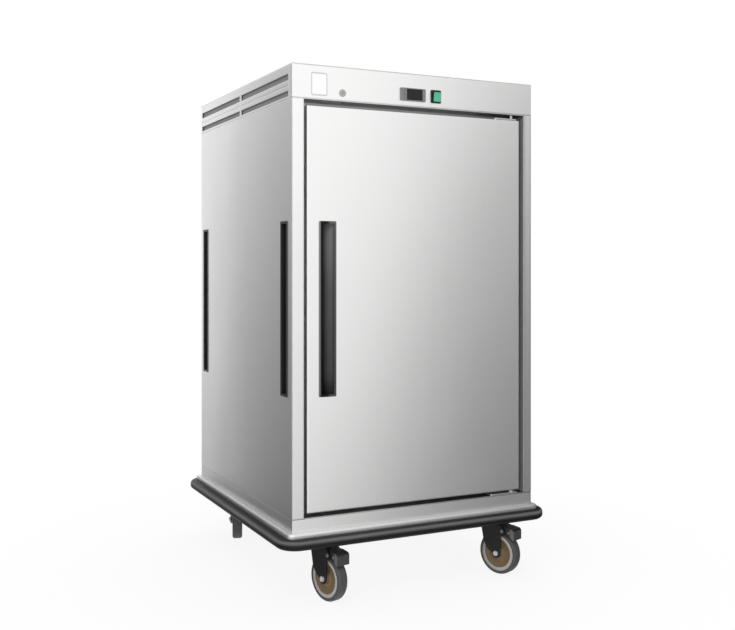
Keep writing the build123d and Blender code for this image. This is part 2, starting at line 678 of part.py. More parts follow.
# Inner liner: flat sheets, four coved corners, a back, and a front flange for the gasket
liner_y = (FLANGE_Y + SHEET + LINER_SEAM, CHAMBER_Y[1])
flange_y = (FLANGE_Y, FLANGE_Y + SHEET)
flat_x = inside(CHAMBER_X, CHAMBER_R + LINER_SEAM)
flat_z = inside(CHAMBER_Z, CHAMBER_R + LINER_SEAM)
flange_x = inside(OPEN_X, -SHEET)
flange_z = inside(OPEN_Z, -SHEET)
with BuildPart() as inner_liner:
    block((CHAMBER_X[0] - SHEET, CHAMBER_X[0]), liner_y, flat_z)
    block((CHAMBER_X[1], CHAMBER_X[1] + SHEET), liner_y, flat_z)
    block(flat_x, liner_y, (CHAMBER_Z[0] - SHEET, CHAMBER_Z[0]))
    block(flat_x, liner_y, (CHAMBER_Z[1], CHAMBER_Z[1] + SHEET))
    for x, y, radius in passages:
        post(x, y, radius, (CHAMBER_Z[1], CHAMBER_Z[1] + SHEET), mode=Mode.SUBTRACT)
    with BuildSketch(facing(CHAMBER_Y[1] + LINER_SEAM)):
        with Locations((0, middle(CHAMBER_Z))):
            RectangleRounded(CHAMBER_W + 2 * SHEET, CHAMBER_H + 2 * SHEET, CHAMBER_R + SHEET)
    extrude(amount=LINER_SEAM - SHEET)
    block((flange_x[0], CHAMBER_X[0] - LINER_SEAM), flange_y, flange_z)
    block((CHAMBER_X[1] + LINER_SEAM, flange_x[1]), flange_y, flange_z)
    block(CHAMBER_X, flange_y, (flange_z[0], CHAMBER_Z[0] - LINER_SEAM))
    block(CHAMBER_X, flange_y, (CHAMBER_Z[1] + LINER_SEAM, flange_z[1]))
    for side in (-1, 1):
        for rise, wall_z in ((-1, CHAMBER_Z[0]), (1, CHAMBER_Z[1])):
            wall_x = side * CHAMBER_W / 2
            cove_centre = (wall_x - side * CHAMBER_R, wall_z - rise * CHAMBER_R)
            gusset_centre = (wall_x - side * CHAMBER_R / 2, wall_z - rise * CHAMBER_R / 2)
            with BuildSketch(facing(liner_y[0])):
                with Locations(cove_centre):
                    Circle(CHAMBER_R + SHEET)
                    Circle(CHAMBER_R, mode=Mode.SUBTRACT)
                with Locations((wall_x, wall_z)):
                    Rectangle(2 * CHAMBER_R, 2 * CHAMBER_R, mode=Mode.INTERSECT)
            extrude(amount=-span(liner_y))
            with BuildSketch(facing(FLANGE_Y)):
                with Locations(gusset_centre):
                    Rectangle(CHAMBER_R, CHAMBER_R)
                with Locations(cove_centre):
                    Circle(CHAMBER_R, mode=Mode.SUBTRACT)
            extrude(amount=-SHEET)
save(inner_liner.part, "inner_liner")

# Insulation: foam between the outer sheets and the liner
with BuildPart() as insulation:
    block(inside((LEFT, RIGHT), SHEET), (FLANGE_Y + SHEET, BACK - SHEET), (BODY_Z + SHEET, HOOD_FLOOR_Z))
    with BuildSketch(facing(FLANGE_Y)):
        with Locations((0, middle(CHAMBER_Z))):
            RectangleRounded(CHAMBER_W + 2 * SHEET, CHAMBER_H + 2 * SHEET, CHAMBER_R)
    extrude(amount=-CHAMBER_D - SHEET, mode=Mode.SUBTRACT)
    for x, y, radius in passages:
        post(x, y, radius, (CHAMBER_Z[1], HOOD_FLOOR_Z), mode=Mode.SUBTRACT)
    for wall_x in ((LEFT, LEFT + SIDE_GRIP_DEPTH + FOAM_ROOM), (RIGHT - SIDE_GRIP_DEPTH - FOAM_ROOM, RIGHT)):
        for grip_y in side_grip_y:
            block(wall_x, about(grip_y, GRIP_W), about(BODY_Z + GRIP_Z, GRIP_H), mode=Mode.SUBTRACT)
save(insulation.part, "insulation")

# Air baffle: a plate under the fan with a ring of intake holes, hung from two walls
baffle_z = CHAMBER_Z[1] - BAFFLE_DROP
baffle_y = inside(CHAMBER_Y, BAFFLE_MARGIN)
with BuildPart() as air_baffle:
    block((-BAFFLE_W / 2, BAFFLE_W / 2), baffle_y, (baffle_z, baffle_z + SHEET))
    for wall_y in ((baffle_y[0], baffle_y[0] + SHEET), (baffle_y[1] - SHEET, baffle_y[1])):
        block((-BAFFLE_W / 2, BAFFLE_W / 2), wall_y, (baffle_z, CHAMBER_Z[1]))
    with Locations((0, 0, baffle_z)):
        for count, radius in INTAKE_RINGS:
            with PolarLocations(radius, count):
                Cylinder(INTAKE_R, 4 * SHEET, mode=Mode.SUBTRACT)
save(air_baffle.part, "air_baffle")

# Fan: a motor on the hood floor, and an impeller whose shaft runs in the motor
fan_z = (baffle_z + FAN_CLEAR, baffle_z + FAN_CLEAR + FAN_BLADE_H + 2 * FAN_DISC_T)
motor_top = HOOD_Z + MOTOR_H
with BuildPart() as fan_motor:
    post(0, 0, MOTOR_FLANGE_R, (HOOD_Z, HOOD_Z + MOTOR_FLANGE_T))
    post(0, 0, MOTOR_R, (HOOD_Z, motor_top))
    fillet(fan_motor.faces().sort_by(Axis.Z)[-1].edges(), 2 * MOTOR_FLANGE_T)
    post(0, 0, SHAFT_R + RUN_FIT, (HOOD_Z, motor_top), mode=Mode.SUBTRACT)
save(fan_motor.part, "fan_motor")

with BuildPart() as fan_impeller:
    post(0, 0, SHAFT_R, (fan_z[0], motor_top - SHAFT_R))
    post(0, 0, FAN_HUB_R, fan_z)
    post(0, 0, FAN_R, (fan_z[1] - FAN_DISC_T, fan_z[1]))
    with Locations((0, 0, middle(fan_z))):
        with PolarLocations((FAN_R + FAN_EYE_R) / 2, FAN_BLADES):
            Box(FAN_R - FAN_EYE_R - FAN_DISC_T, FAN_DISC_T, FAN_BLADE_H + FAN_DISC_T)
    with BuildSketch(Plane.XY.offset(fan_z[0])):
        Circle(FAN_R)
        Circle(FAN_EYE_R, mode=Mode.SUBTRACT)
    extrude(amount=FAN_DISC_T)
save(fan_impeller.part, "fan_impeller")

# Heating element: an open ring round the fan, with two legs up into the hood
heater_z = middle(fan_z)
with BuildPart() as heating_element:
    with BuildSketch(Plane.XZ):
        with Locations((HEATER_RING_R, heater_z)):
            Circle(HEATER_R)
    revolve(axis=Axis.Z, revolution_arc=HEATER_ARC)
    for x, y in heater_legs:
        post(x, y, HEATER_R, (heater_z, HOOD_Z + TAIL))
save(heating_element.part, "heating_element")

# Temperature probe: a thin sheath through the ceiling, beside the baffle
with BuildPart() as temperature_probe:
    post(PROBE_X, PROBE_Y, PROBE_R, (CHAMBER_Z[1] - PROBE_L, HOOD_Z + TAIL))
    fillet(temperature_probe.faces().sort_by(Axis.Z)[0].edges(), PROBE_R / 2)
save(temperature_probe.part, "temperature_probe")

# Tray racks: two uprights on each wall, and runners that hang on them
upright_z = (CHAMBER_Z[0] + UPRIGHT_MARGIN, baffle_z - UPRIGHT_MARGIN)
runner_y = inside(CHAMBER_Y, RUNNER_MARGIN)
for name, side in (("left", -1), ("right", 1)):
    wall = side * CHAMBER_W / 2
    hook = wall - side * (UPRIGHT_T + RUNNER_PLAY)
    tip = wall - side * (UPRIGHT_T + RUNNER_REACH)
    with BuildPart() as tray_rack:
        for upright_y in (-UPRIGHT_Y, UPRIGHT_Y):
            block(sorted((wall, wall - side * UPRIGHT_T)), about(upright_y, UPRIGHT_W), upright_z)
        for level in range(RUNNERS):
            ledge_z = CHAMBER_Z[0] + RUNNER_FIRST + level * RUNNER_PITCH
            block(sorted((hook, tip)), runner_y, (ledge_z, ledge_z + RUNNER_T))
            block(sorted((hook, hook - side * RUNNER_T)), runner_y, (ledge_z - RUNNER_DROP, ledge_z))
    save(tray_rack.part, f"{name}_tray_rack")

# Door: an outer skin folded into a pan, foam, and an inner sheet that closes it
handle_x = LEFT + HANDLE_X
handle_hole = (about(handle_x, GRIP_W - 2 * GRIP_LIP), about(BODY_Z + GRIP_Z, GRIP_H - 2 * GRIP_LIP))
door_cam_x = (lock[0] - CAM_L + CAM_ROOM, lock[0] + CAM_W / 2 + CAM_ROOM)
door_cam_z = (DOOR_Z[1] - CAM_IN_DOOR, DOOR_Z[1])
bush_spans = ((DOOR_Z[0], DOOR_Z[0] + BUSH_L), (DOOR_Z[1] - BUSH_L, DOOR_Z[1]))
with BuildPart() as door_skin:
    block(DOOR_X, DOOR_Y, DOOR_Z)
    fillet(door_skin.faces().sort_by(Axis.Y)[0].edges(), DOOR_EDGE_R)
    offset(amount=-SHEET, openings=door_skin.faces().sort_by(Axis.Y)[-1])
    block(handle_hole[0], (DOOR_Y[0], DOOR_Y[0] + SHEET), handle_hole[1], mode=Mode.SUBTRACT)
    block(door_cam_x, cam_slot_y, door_cam_z, mode=Mode.SUBTRACT)
    for bush_z in bush_spans:
        post(*PIVOT, BUSH_R + BUSH_FIT, bush_z, mode=Mode.SUBTRACT)
save(door_skin.part, "door_skin")

with BuildPart() as door_liner:
    block(inside(DOOR_X, SHEET), (DOOR_Y[1] - SHEET, DOOR_Y[1]), inside(DOOR_Z, SHEET))
save(door_liner.part, "door_liner")

with BuildPart() as door_insulation:
    block(inside(DOOR_X, SHEET), (DOOR_Y[0] + SHEET, DOOR_Y[1] - SHEET), inside(DOOR_Z, SHEET))
    fillet(door_insulation.faces().sort_by(Axis.Y)[0].edges(), DOOR_EDGE_R - SHEET)
    block(handle_hole[0], (DOOR_Y[0], DOOR_Y[0] + HANDLE_DEPTH + FOAM_ROOM), handle_hole[1],
          mode=Mode.SUBTRACT)
    block(door_cam_x, cam_slot_y, door_cam_z, mode=Mode.SUBTRACT)
    for bush_z in bush_spans:
        post(*PIVOT, BUSH_R + BUSH_FIT, bush_z, mode=Mode.SUBTRACT)
save(door_insulation.part, "door_insulation")

# Door handle: a recessed pull, with its sloping wall towards the hinge
handle_face = Plane((handle_x, DOOR_Y[0], BODY_Z + GRIP_Z), x_dir=(1, 0, 0), z_dir=(0, -1, 0))
save(recessed_grip(handle_face, HANDLE_DEPTH), "door_handle")

# Door gasket: a rounded seal on the inner sheet
with BuildPart() as door_gasket:
    with BuildSketch(facing(DOOR_Y[1])):
        with Locations((middle(GASKET_X), middle(GASKET_Z))):
            RectangleRounded(span(GASKET_X), span(GASKET_Z), CHAMBER_R)
            RectangleRounded(span(GASKET_X) - 2 * GASKET_W, span(GASKET_Z) - 2 * GASKET_W,
                             CHAMBER_R - GASKET_W, mode=Mode.SUBTRACT)
    extrude(amount=-GASKET_T)
    fillet(door_gasket.faces().sort_by(Axis.Y)[-1].edges(), GASKET_R)
save(door_gasket.part, "door_gasket")

# Hinge brackets: a plate with a collar on the sill and a plate over the head, each with its pin
plate_x = (PIVOT[0] + HINGE_PLATE_X[0], PIVOT[0] + HINGE_PLATE_X[1])
plate_y = (FRONT + HINGE_PLATE_Y[0], FRONT + HINGE_PLATE_Y[1])
lower_plate_z = (OPEN_Z[0], OPEN_Z[0] + HINGE_PLATE_T)
upper_plate_z = (HOOD_Z, HOOD_Z + HINGE_PLATE_T)
collar_top = lower_plate_z[1] + COLLAR_H
with BuildPart() as hinge_brackets:
    block(plate_x, plate_y, lower_plate_z)
    block(plate_x, plate_y, upper_plate_z)
    fillet(hinge_brackets.edges().filter_by(Axis.Z), PLATE_R)
    for plate in hinge_brackets.solids():
        fillet(plate.faces().sort_by(Axis.Z)[-1].edges(), PLATE_EDGE_R)
    post(*PIVOT, COLLAR_R, (lower_plate_z[0], collar_top))
    post(*PIVOT, PIN_R, (lower_plate_z[0], DOOR_Z[0] + PIN_IN_DOOR))
    post(*PIVOT, PIN_R, (DOOR_Z[1] - PIN_IN_DOOR, upper_plate_z[1]))
save(hinge_brackets.part, "hinge_brackets")

# Hinge bushes: a sleeve with a nose under the door, and one with a plate on the door's top
nose_z = (collar_top + COLLAR_GAP, DOOR_Z[0])
door_plate_x = (PIVOT[0] + DOOR_PLATE_X[0], PIVOT[0] + DOOR_PLATE_X[1])
door_plate_z = (DOOR_Z[1], DOOR_Z[1] + HINGE_PLATE_T)
with BuildPart() as hinge_bushes:
    block(door_plate_x, about(PIVOT[1], DOOR_PLATE_W), door_plate_z)
    fillet(hinge_bushes.edges().filter_by(Axis.Z), PLATE_R)
    post(*PIVOT, NOSE_R, nose_z)
    for bush_z in bush_spans:
        post(*PIVOT, BUSH_R, bush_z)
    for bore_z in ((nose_z[0], bush_spans[0][1]), (bush_spans[1][0], door_plate_z[1])):
        post(*PIVOT, PIN_R + RUN_FIT, bore_z, mode=Mode.SUBTRACT)
save(hinge_bushes.part, "hinge_bushes")

# Caster plates: a bolted plate, the fixed race and the kingpin with its nut
nut_top = FORK_YOKE_Z - RACE_GAP
with BuildPart() as caster_plates:
    with Locations((0, 0, PLATE_Z + PLATE_T / 2)):
        with GridLocations(2 * SWIVEL_X, 2 * SWIVEL_Y, 2, 2):
            Box(PLATE_W, PLATE_L, PLATE_T)
    fillet(caster_plates.edges().filter_by(Axis.Z), PLATE_R)
    for side, end, heading in CASTERS.values():
        post(side * SWIVEL_X, end * SWIVEL_Y, RACE_R, (RACE_TOP_Z, PLATE_Z))
        post(side * SWIVEL_X, end * SWIVEL_Y, KINGPIN_R, (nut_top - KINGPIN_NUT_H, PLATE_Z))
        with BuildSketch(Plane((side * SWIVEL_X, end * SWIVEL_Y, nut_top))):
            RegularPolygon(KINGPIN_NUT_R, 6)
        extrude(amount=-KINGPIN_NUT_H)
    with Locations((0, 0, PLATE_Z)):
        with GridLocations(2 * SWIVEL_X, 2 * SWIVEL_Y, 2, 2):
            with GridLocations(*BOLT_SPACING, 2, 2):
                Cylinder(BOLT_R + BOLT_FIT, 4 * PLATE_T, mode=Mode.SUBTRACT)
save(caster_plates.part, "caster_plates")

# Caster bolts: four to a plate, with hexagonal heads
with BuildPart() as caster_bolts:
    with BuildSketch(Plane.XY.offset(PLATE_Z)):
        with GridLocations(2 * SWIVEL_X, 2 * SWIVEL_Y, 2, 2):
            with GridLocations(*BOLT_SPACING, 2, 2):
                Circle(BOLT_R)
    extrude(amount=BOLT_L)
    with BuildSketch(Plane.XY.offset(PLATE_Z)):
        with GridLocations(2 * SWIVEL_X, 2 * SWIVEL_Y, 2, 2):
            with GridLocations(*BOLT_SPACING, 2, 2):
                RegularPolygon(BOLT_HEAD_R, 6)
    extrude(amount=-BOLT_HEAD_H)
save(caster_bolts.part, "caster_bolts")


def caster_frame(name):
    """The floor plane under a swivel axis, with x the way that the wheel trails."""
    side, end, heading = CASTERS[name]
    trailing = Vector(1, 0, 0).rotate(Axis.Z, heading)
    return Plane((side * SWIVEL_X, end * SWIVEL_Y, 0), x_dir=trailing, z_dir=(0, 0, 1))


def wheel_side(frame):
    """The upright plane through the middle of a wheel: x trails, y is up."""
    return Plane(frame.origin, x_dir=frame.x_dir, z_dir=-frame.y_dir)


def axle_point(frame):
    """The middle of a wheel."""
    return frame.origin + frame.x_dir * TRAIL + frame.z_dir * WHEEL_R


def axle_plane(frame):
    """The plane through an axle: x runs along the axle, y is up."""
    return Plane(axle_point(frame), x_dir=frame.y_dir, z_dir=frame.y_dir.cross(frame.z_dir))


def caster_fork(frame, braked):
    """Two legs under a yoke, the moving race, and ears with a pin for the pedal where there is one."""
    side = wheel_side(frame)
    tail = TRAIL + FORK_TAIL
    lead = TRAIL - FORK_TAIL
    yoke_edge = ((tail, FORK_TOP_Z), (-FORK_LEAD, FORK_TOP_Z), (-FORK_LEAD, FORK_YOKE_Z))
    with BuildPart() as fork:
        with BuildSketch(side):
            with BuildLine():
                Polyline((tail, WHEEL_R), *yoke_edge, FORK_NECK, FORK_KNEE)
                ThreePointArc(FORK_KNEE, FORK_SHIN, (lead, WHEEL_R))
                ThreePointArc((lead, WHEEL_R), (TRAIL, WHEEL_R - FORK_TAIL), (tail, WHEEL_R))
            make_face()
            if braked:
                with BuildLine():
                    Polyline((TRAIL, FORK_EAR[0][1]), *FORK_EAR, (tail, FORK_TOP_Z), (TRAIL, FORK_TOP_Z),
                             close=True)
                make_face()
        extrude(amount=FORK_W / 2, both=True)
        with BuildSketch(side):
            with Locations((0, FORK_YOKE_Z / 2)):
                Rectangle(4 * WHEEL_R, FORK_YOKE_Z)
            with Locations((FORK_YOKE_TAIL + TRAIL, FORK_YOKE_Z)):
                Rectangle(2 * TRAIL, FORK_YOKE_Z)
        extrude(amount=FORK_GAP / 2, both=True, mode=Mode.SUBTRACT)
        with BuildSketch(frame.offset(FORK_TOP_Z)):
            Circle(RACE_R - 1)
        extrude(amount=RACE_TOP_Z - RACE_GAP - FORK_TOP_Z)
        with BuildSketch(frame.offset(FORK_YOKE_Z)):
            Circle(KINGPIN_R + RUN_FIT)
        extrude(amount=RACE_TOP_Z - FORK_YOKE_Z, mode=Mode.SUBTRACT)
        with BuildSketch(side):
            with Locations((TRAIL, WHEEL_R)):
                Circle(AXLE_R + AXLE_FIT)
        extrude(amount=FORK_W, both=True, mode=Mode.SUBTRACT)
        if braked:
            with BuildSketch(side):
                with Locations(PEDAL_PIVOT):
                    Circle(PEDAL_PIN_R)
            extrude(amount=FORK_W / 2, both=True)
    return fork.part


def caster_axle(frame):
    """A bolt through both legs, with a hexagon at each end."""
    side = wheel_side(frame)
    with BuildPart() as axle:
        with BuildSketch(side):
            with Locations((TRAIL, WHEEL_R)):
                Circle(AXLE_R)
        extrude(amount=FORK_W / 2, both=True)
        for turn in (-1, 1):
            with BuildSketch(side.offset(turn * FORK_W / 2)):
                with Locations((TRAIL, WHEEL_R)):
                    RegularPolygon(AXLE_HEAD_R, 6)
            extrude(amount=turn * AXLE_HEAD_H)
    return axle.part


def caster_hub(frame):
    """A moulded wheel centre: boss, web and rim."""
    bore = AXLE_R + RUN_FIT
    boss = FORK_GAP / 2 - WHEEL_PLAY
    with BuildPart() as hub:
        with BuildSketch(axle_plane(frame)):
            with BuildLine():
                Polyline(
                    (-boss, bore),
                    (-boss, BOSS_R),
                    (-WEB_W / 2, BOSS_R),
                    (-WEB_W / 2, RIM_INNER_R),
                    (-RIM_W / 2, RIM_INNER_R),
                    (-RIM_W / 2, RIM_R),
                    (RIM_W / 2, RIM_R),
                    (RIM_W / 2, RIM_INNER_R),
                    (WEB_W / 2, RIM_INNER_R),
                    (WEB_W / 2, BOSS_R),
                    (boss, BOSS_R),
                    (boss, bore),
                    close=True,
                )
            make_face()
        revolve(axis=Axis(axle_point(frame), frame.y_dir))
    return hub.part


def caster_tyre(frame):
    """A tyre with a rounded tread."""
    tread = WHEEL_R - RIM_R - TYRE_FIT
    with BuildPart() as tyre:
        with BuildSketch(axle_plane(frame)) as section:
            with Locations((0, WHEEL_R - tread / 2)):
                Rectangle(TYRE_W, tread)
            fillet(section.vertices().group_by(Axis.Y)[-1], TYRE_CROWN)
        revolve(axis=Axis(axle_point(frame), frame.y_dir))
    return tyre.part


def pedal_top(place):
    """Height of a pedal's sloping top at a place along the trail."""
    fall = (PEDAL_REAR_Z - PEDAL_TOP_Z) / (PEDAL_FACE - PEDAL_BEND - PEDAL_REAR)
    return PEDAL_REAR_Z - fall * (place - PEDAL_REAR)


def brake_pedal(frame):
    """A folded channel over the wheel, wider at its head, with a shoe that comes down on the tread."""
    side = wheel_side(frame)
    front = (
        (PEDAL_FACE - PEDAL_BEND, PEDAL_TOP_Z),
        (PEDAL_FACE, PEDAL_TOP_Z - PEDAL_BEND),
        (PEDAL_FACE, PEDAL_SKIRT_Z),
        (PEDAL_FACE - PEDAL_T, PEDAL_SKIRT_Z),
    )
    room_top = PEDAL_TOP_Z - PEDAL_T
    room_face = PEDAL_FACE - PEDAL_T
    bend = ((room_face - PEDAL_BEND, room_top), (room_face, room_top - PEDAL_BEND), (room_face, 0))
    shoe_top = [(place, pedal_top(place)) for place in (PEDAL_SHOE[-1][0], PEDAL_SHOE[0][0])]
    with BuildPart() as pedal:
        with BuildSketch(side):
            with BuildLine():
                Polyline((PEDAL_REAR, PEDAL_REAR_Z), *front, *PEDAL_CHEEK, close=True)
            make_face()
        extrude(amount=PEDAL_W / 2, both=True)
        with BuildSketch(side):
            with BuildLine():
                Polyline((PEDAL_HEAD, pedal_top(PEDAL_HEAD)), *front, *PEDAL_CHEEK[:2], close=True)
            make_face()
        extrude(amount=PEDAL_HEAD_W / 2, both=True)
        for rear, width in ((PEDAL_REAR, PEDAL_W), (PEDAL_HEAD + PEDAL_T, PEDAL_HEAD_W)):
            with BuildSketch(side):
                with BuildLine():
                    Polyline((rear, 0), (rear, pedal_top(rear) - PEDAL_T), *bend, close=True)
                make_face()
            extrude(amount=width / 2 - PEDAL_T, both=True, mode=Mode.SUBTRACT)
        with BuildSketch(side):
            with BuildLine():
                Polyline(*PEDAL_SHOE, *shoe_top, close=True)
            make_face()
        extrude(amount=PEDAL_SHOE_W / 2, both=True)
        with BuildSketch(side):
            with Locations(PEDAL_PIVOT):
                Circle(PEDAL_HUB_R)
        extrude(amount=PEDAL_W / 2, both=True)
        with BuildSketch(side):
            with Locations(PEDAL_PIVOT):
                Circle(PEDAL_PIN_R + RUN_FIT)
        extrude(amount=PEDAL_W, both=True, mode=Mode.SUBTRACT)
    return pedal.part


for name in CASTERS:
    corner = caster_frame(name)
    save(caster_fork(corner, name in BRAKED), f"{name}_fork")
    save(caster_axle(corner), f"{name}_axle")
    save(caster_hub(corner), f"{name}_hub")
    save(caster_tyre(corner), f"{name}_tyre")
    if name in BRAKED:
        save(brake_pedal(corner), f"{name}_brake_pedal")
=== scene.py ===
import json
import math

import bmesh
import bpy
from mathutils import Matrix, Vector


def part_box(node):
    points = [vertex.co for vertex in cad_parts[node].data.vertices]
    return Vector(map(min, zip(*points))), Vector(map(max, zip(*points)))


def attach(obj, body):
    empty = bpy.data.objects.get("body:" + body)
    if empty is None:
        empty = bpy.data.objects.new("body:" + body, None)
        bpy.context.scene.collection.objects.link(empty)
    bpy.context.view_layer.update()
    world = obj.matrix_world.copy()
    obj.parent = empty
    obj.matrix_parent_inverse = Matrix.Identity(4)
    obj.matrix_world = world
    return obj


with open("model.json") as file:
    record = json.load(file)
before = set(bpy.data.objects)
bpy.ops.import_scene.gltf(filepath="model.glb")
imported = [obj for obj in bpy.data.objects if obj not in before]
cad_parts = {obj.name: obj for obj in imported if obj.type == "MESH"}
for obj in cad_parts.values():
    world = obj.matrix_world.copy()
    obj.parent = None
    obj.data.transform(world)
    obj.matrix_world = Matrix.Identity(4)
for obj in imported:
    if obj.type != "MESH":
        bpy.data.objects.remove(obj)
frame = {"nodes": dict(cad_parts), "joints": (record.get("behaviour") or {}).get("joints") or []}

# Heated holding cabinet: finishes and small trim for the solids, in metres
MM = 0.001
X, Y, Z = 0, 1, 2
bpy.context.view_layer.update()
NODES = frame["nodes"]
JOINTS = {joint["name"]: joint for joint in frame["joints"]}
CORNERS = ("front_left", "front_right", "rear_left", "rear_right")
BRAKED = ("front_left", "front_right")

# Camera, level and shifted, in the photograph's frame
IMAGE_W = 735
IMAGE_H = 630
FOCAL_PX = 1004.2
EYE_LEVEL_PX = 265.7
SENSOR_W = 36
CAMERA_AT = (-1.3630, -2.8712, 0.9044)
CAMERA_YAW = 26.06


# Material building blocks
def node(tree, kind, inputs=None, **settings):
    """A shader node with its settings and unlinked inputs."""
    made = tree.nodes.new(kind)
    for key, value in settings.items():
        setattr(made, key, value)
    for key, value in (inputs or {}).items():
        made.inputs[key].default_value = value
    return made


def material(name, **inputs):
    """A new material, its tree and its main shader with fixed inputs set."""
    made = bpy.data.materials.new(name)
    made.use_nodes = True
    tree = made.node_tree
    main = tree.nodes["Principled BSDF"]
    for key, value in inputs.items():
        main.inputs[key.replace("_", " ")].default_value = value
    return made, tree, main


def noise(tree, scale, detail=2.0):
    """Noise over the object's own place, with a number of grains per metre along each axis."""
    place = node(tree, "ShaderNodeTexCoord")
    mapping = node(tree, "ShaderNodeMapping", {"Scale": scale})
    grain = node(tree, "ShaderNodeTexNoise", {"Scale": 1.0, "Detail": detail, "Roughness": 0.6})
    tree.links.new(place.outputs["Object"], mapping.inputs["Vector"])
    tree.links.new(mapping.outputs["Vector"], grain.inputs["Vector"])
    return grain.outputs["Fac"]


def spread(tree, value, low, high, start=0.3, end=0.7):
    """A value moved from one range to another."""
    limits = {"From Min": start, "From Max": end, "To Min": low, "To Max": high}
    moved = node(tree, "ShaderNodeMapRange", limits)
    tree.links.new(value, moved.inputs["Value"])
    return moved.outputs["Result"]


def total(tree, first, second):
    """The sum of two values."""
    plus = node(tree, "ShaderNodeMath", operation="ADD")
    tree.links.new(first, plus.inputs[0])
    tree.links.new(second, plus.inputs[1])
    return plus.outputs["Value"]


def tint(tree, value, dark, light):
    """A colour between two, by a value from 0 to 1."""
    mix = node(tree, "ShaderNodeMix", data_type="RGBA")
    mix.inputs[6].default_value = (*dark, 1)
    mix.inputs[7].default_value = (*light, 1)
    tree.links.new(value, mix.inputs[0])
    return mix.outputs[2]


def scaled(colour, factor):
    """A colour made darker or lighter."""
    return tuple(min(1.0, part * factor) for part in colour)


def ramp(tree, value, stops, low=None, high=None):
    """A grey level looked up between stops, from a value between two limits or the end stops."""
    low = stops[0][0] if low is None else low
    high = stops[-1][0] if high is None else high
    found = node(tree, "ShaderNodeValToRGB")
    line = found.color_ramp
    line.interpolation = "EASE"
    while len(line.elements) < len(stops):
        line.elements.new(0.5)
    for element, (at, level) in zip(line.elements, stops):
        element.position = (at - low) / (high - low)
        element.color = (level, level, level, 1)
    tree.links.new(spread(tree, value, 0.0, 1.0, low, high), found.inputs["Fac"])
    return found.outputs["Color"]


def relief(tree, main, height, depth, strength=1.0, edge=0.0):
    """Bump on a shader from a height, in metres of depth, over edges rounded to a radius."""
    bump = node(tree, "ShaderNodeBump", {"Strength": strength, "Distance": depth})
    tree.links.new(height, bump.inputs["Height"])
    if edge:
        rounded = node(tree, "ShaderNodeBevel", {"Radius": edge}, samples=6)
        tree.links.new(rounded.outputs["Normal"], bump.inputs["Normal"])
    tree.links.new(bump.outputs["Normal"], main.inputs["Normal"])


SCRATCH_SHEEN = 0.05  # change of roughness from scratch to scratch
CLOUD_SHEEN = 0.03  # change of roughness over a sheet
GRAIN_SHEEN = 0.06  # change of roughness in a moulded or plated surface
SCRATCH_TINT = (0.95, 1.03)  # darkest and lightest scratch, as shares of the colour
PLATE_TINT = (0.93, 1.04)  # darkest and lightest patch of a plated surface
CLOUDS = (2.3, 2.3, 1.7)  # clouds per metre
SCRATCH_DEPTH = 0.02 * MM
SCRATCH_STRENGTH = 0.35


def brushed(name, colour, roughness, along, fineness=1500, soft=6, edge=0.0):
    """Brushed sheet metal whose scratches run along some axes, with faint clouds in its sheen."""
    made, tree, main = material(name, Metallic=1.0)
    scale = [soft if axis in along else fineness for axis in (X, Y, Z)]
    fine = noise(tree, scale, detail=3.0)
    cloud = noise(tree, CLOUDS)
    scratched = spread(tree, fine, roughness - SCRATCH_SHEEN, roughness + SCRATCH_SHEEN)
    sheen = total(tree, scratched, spread(tree, cloud, -CLOUD_SHEEN, CLOUD_SHEEN))
    tree.links.new(sheen, main.inputs["Roughness"])
    dark, light = scaled(colour, SCRATCH_TINT[0]), scaled(colour, SCRATCH_TINT[1])
    tree.links.new(tint(tree, fine, dark, light), main.inputs["Base Color"])
    relief(tree, main, fine, SCRATCH_DEPTH, SCRATCH_STRENGTH, edge)
    return made


GRAIN = 1400  # grains per metre
GRAIN_DEPTH = 0.03 * MM
GRAIN_STRENGTH = 0.5
PATCHES = (14, 14, 14)  # patches per metre


def moulded(name, colour, roughness, grain=GRAIN, depth=GRAIN_DEPTH, variety=0.12):
    """Moulded plastic or rubber with a fine grain and slightly uneven colour."""
    made, tree, main = material(name)
    fine = noise(tree, (grain, grain, grain))
    broad = noise(tree, PATCHES, detail=4.0)
    grained = spread(tree, fine, roughness - GRAIN_SHEEN, roughness + GRAIN_SHEEN)
    sheen = total(tree, grained, spread(tree, broad, -GRAIN_SHEEN, GRAIN_SHEEN))
    tree.links.new(sheen, main.inputs["Roughness"])
    dark, light = scaled(colour, 1 - variety), scaled(colour, 1 + variety)
    tree.links.new(tint(tree, broad, dark, light), main.inputs["Base Color"])
    relief(tree, main, fine, depth, GRAIN_STRENGTH)
    return made


def plated(name, colour, roughness, metallic=1.0):
    """Plated or polished metal with small uneven patches."""
    made, tree, main = material(name, Metallic=metallic)
    broad = noise(tree, (60, 60, 60), detail=3.0)
    patched = spread(tree, broad, roughness - GRAIN_SHEEN, roughness + GRAIN_SHEEN)
    tree.links.new(patched, main.inputs["Roughness"])
    dark, light = scaled(colour, PLATE_TINT[0]), scaled(colour, PLATE_TINT[1])
    tree.links.new(tint(tree, broad, dark, light), main.inputs["Base Color"])
    relief(tree, main, broad, 0.01 * MM, 0.3)
    return made


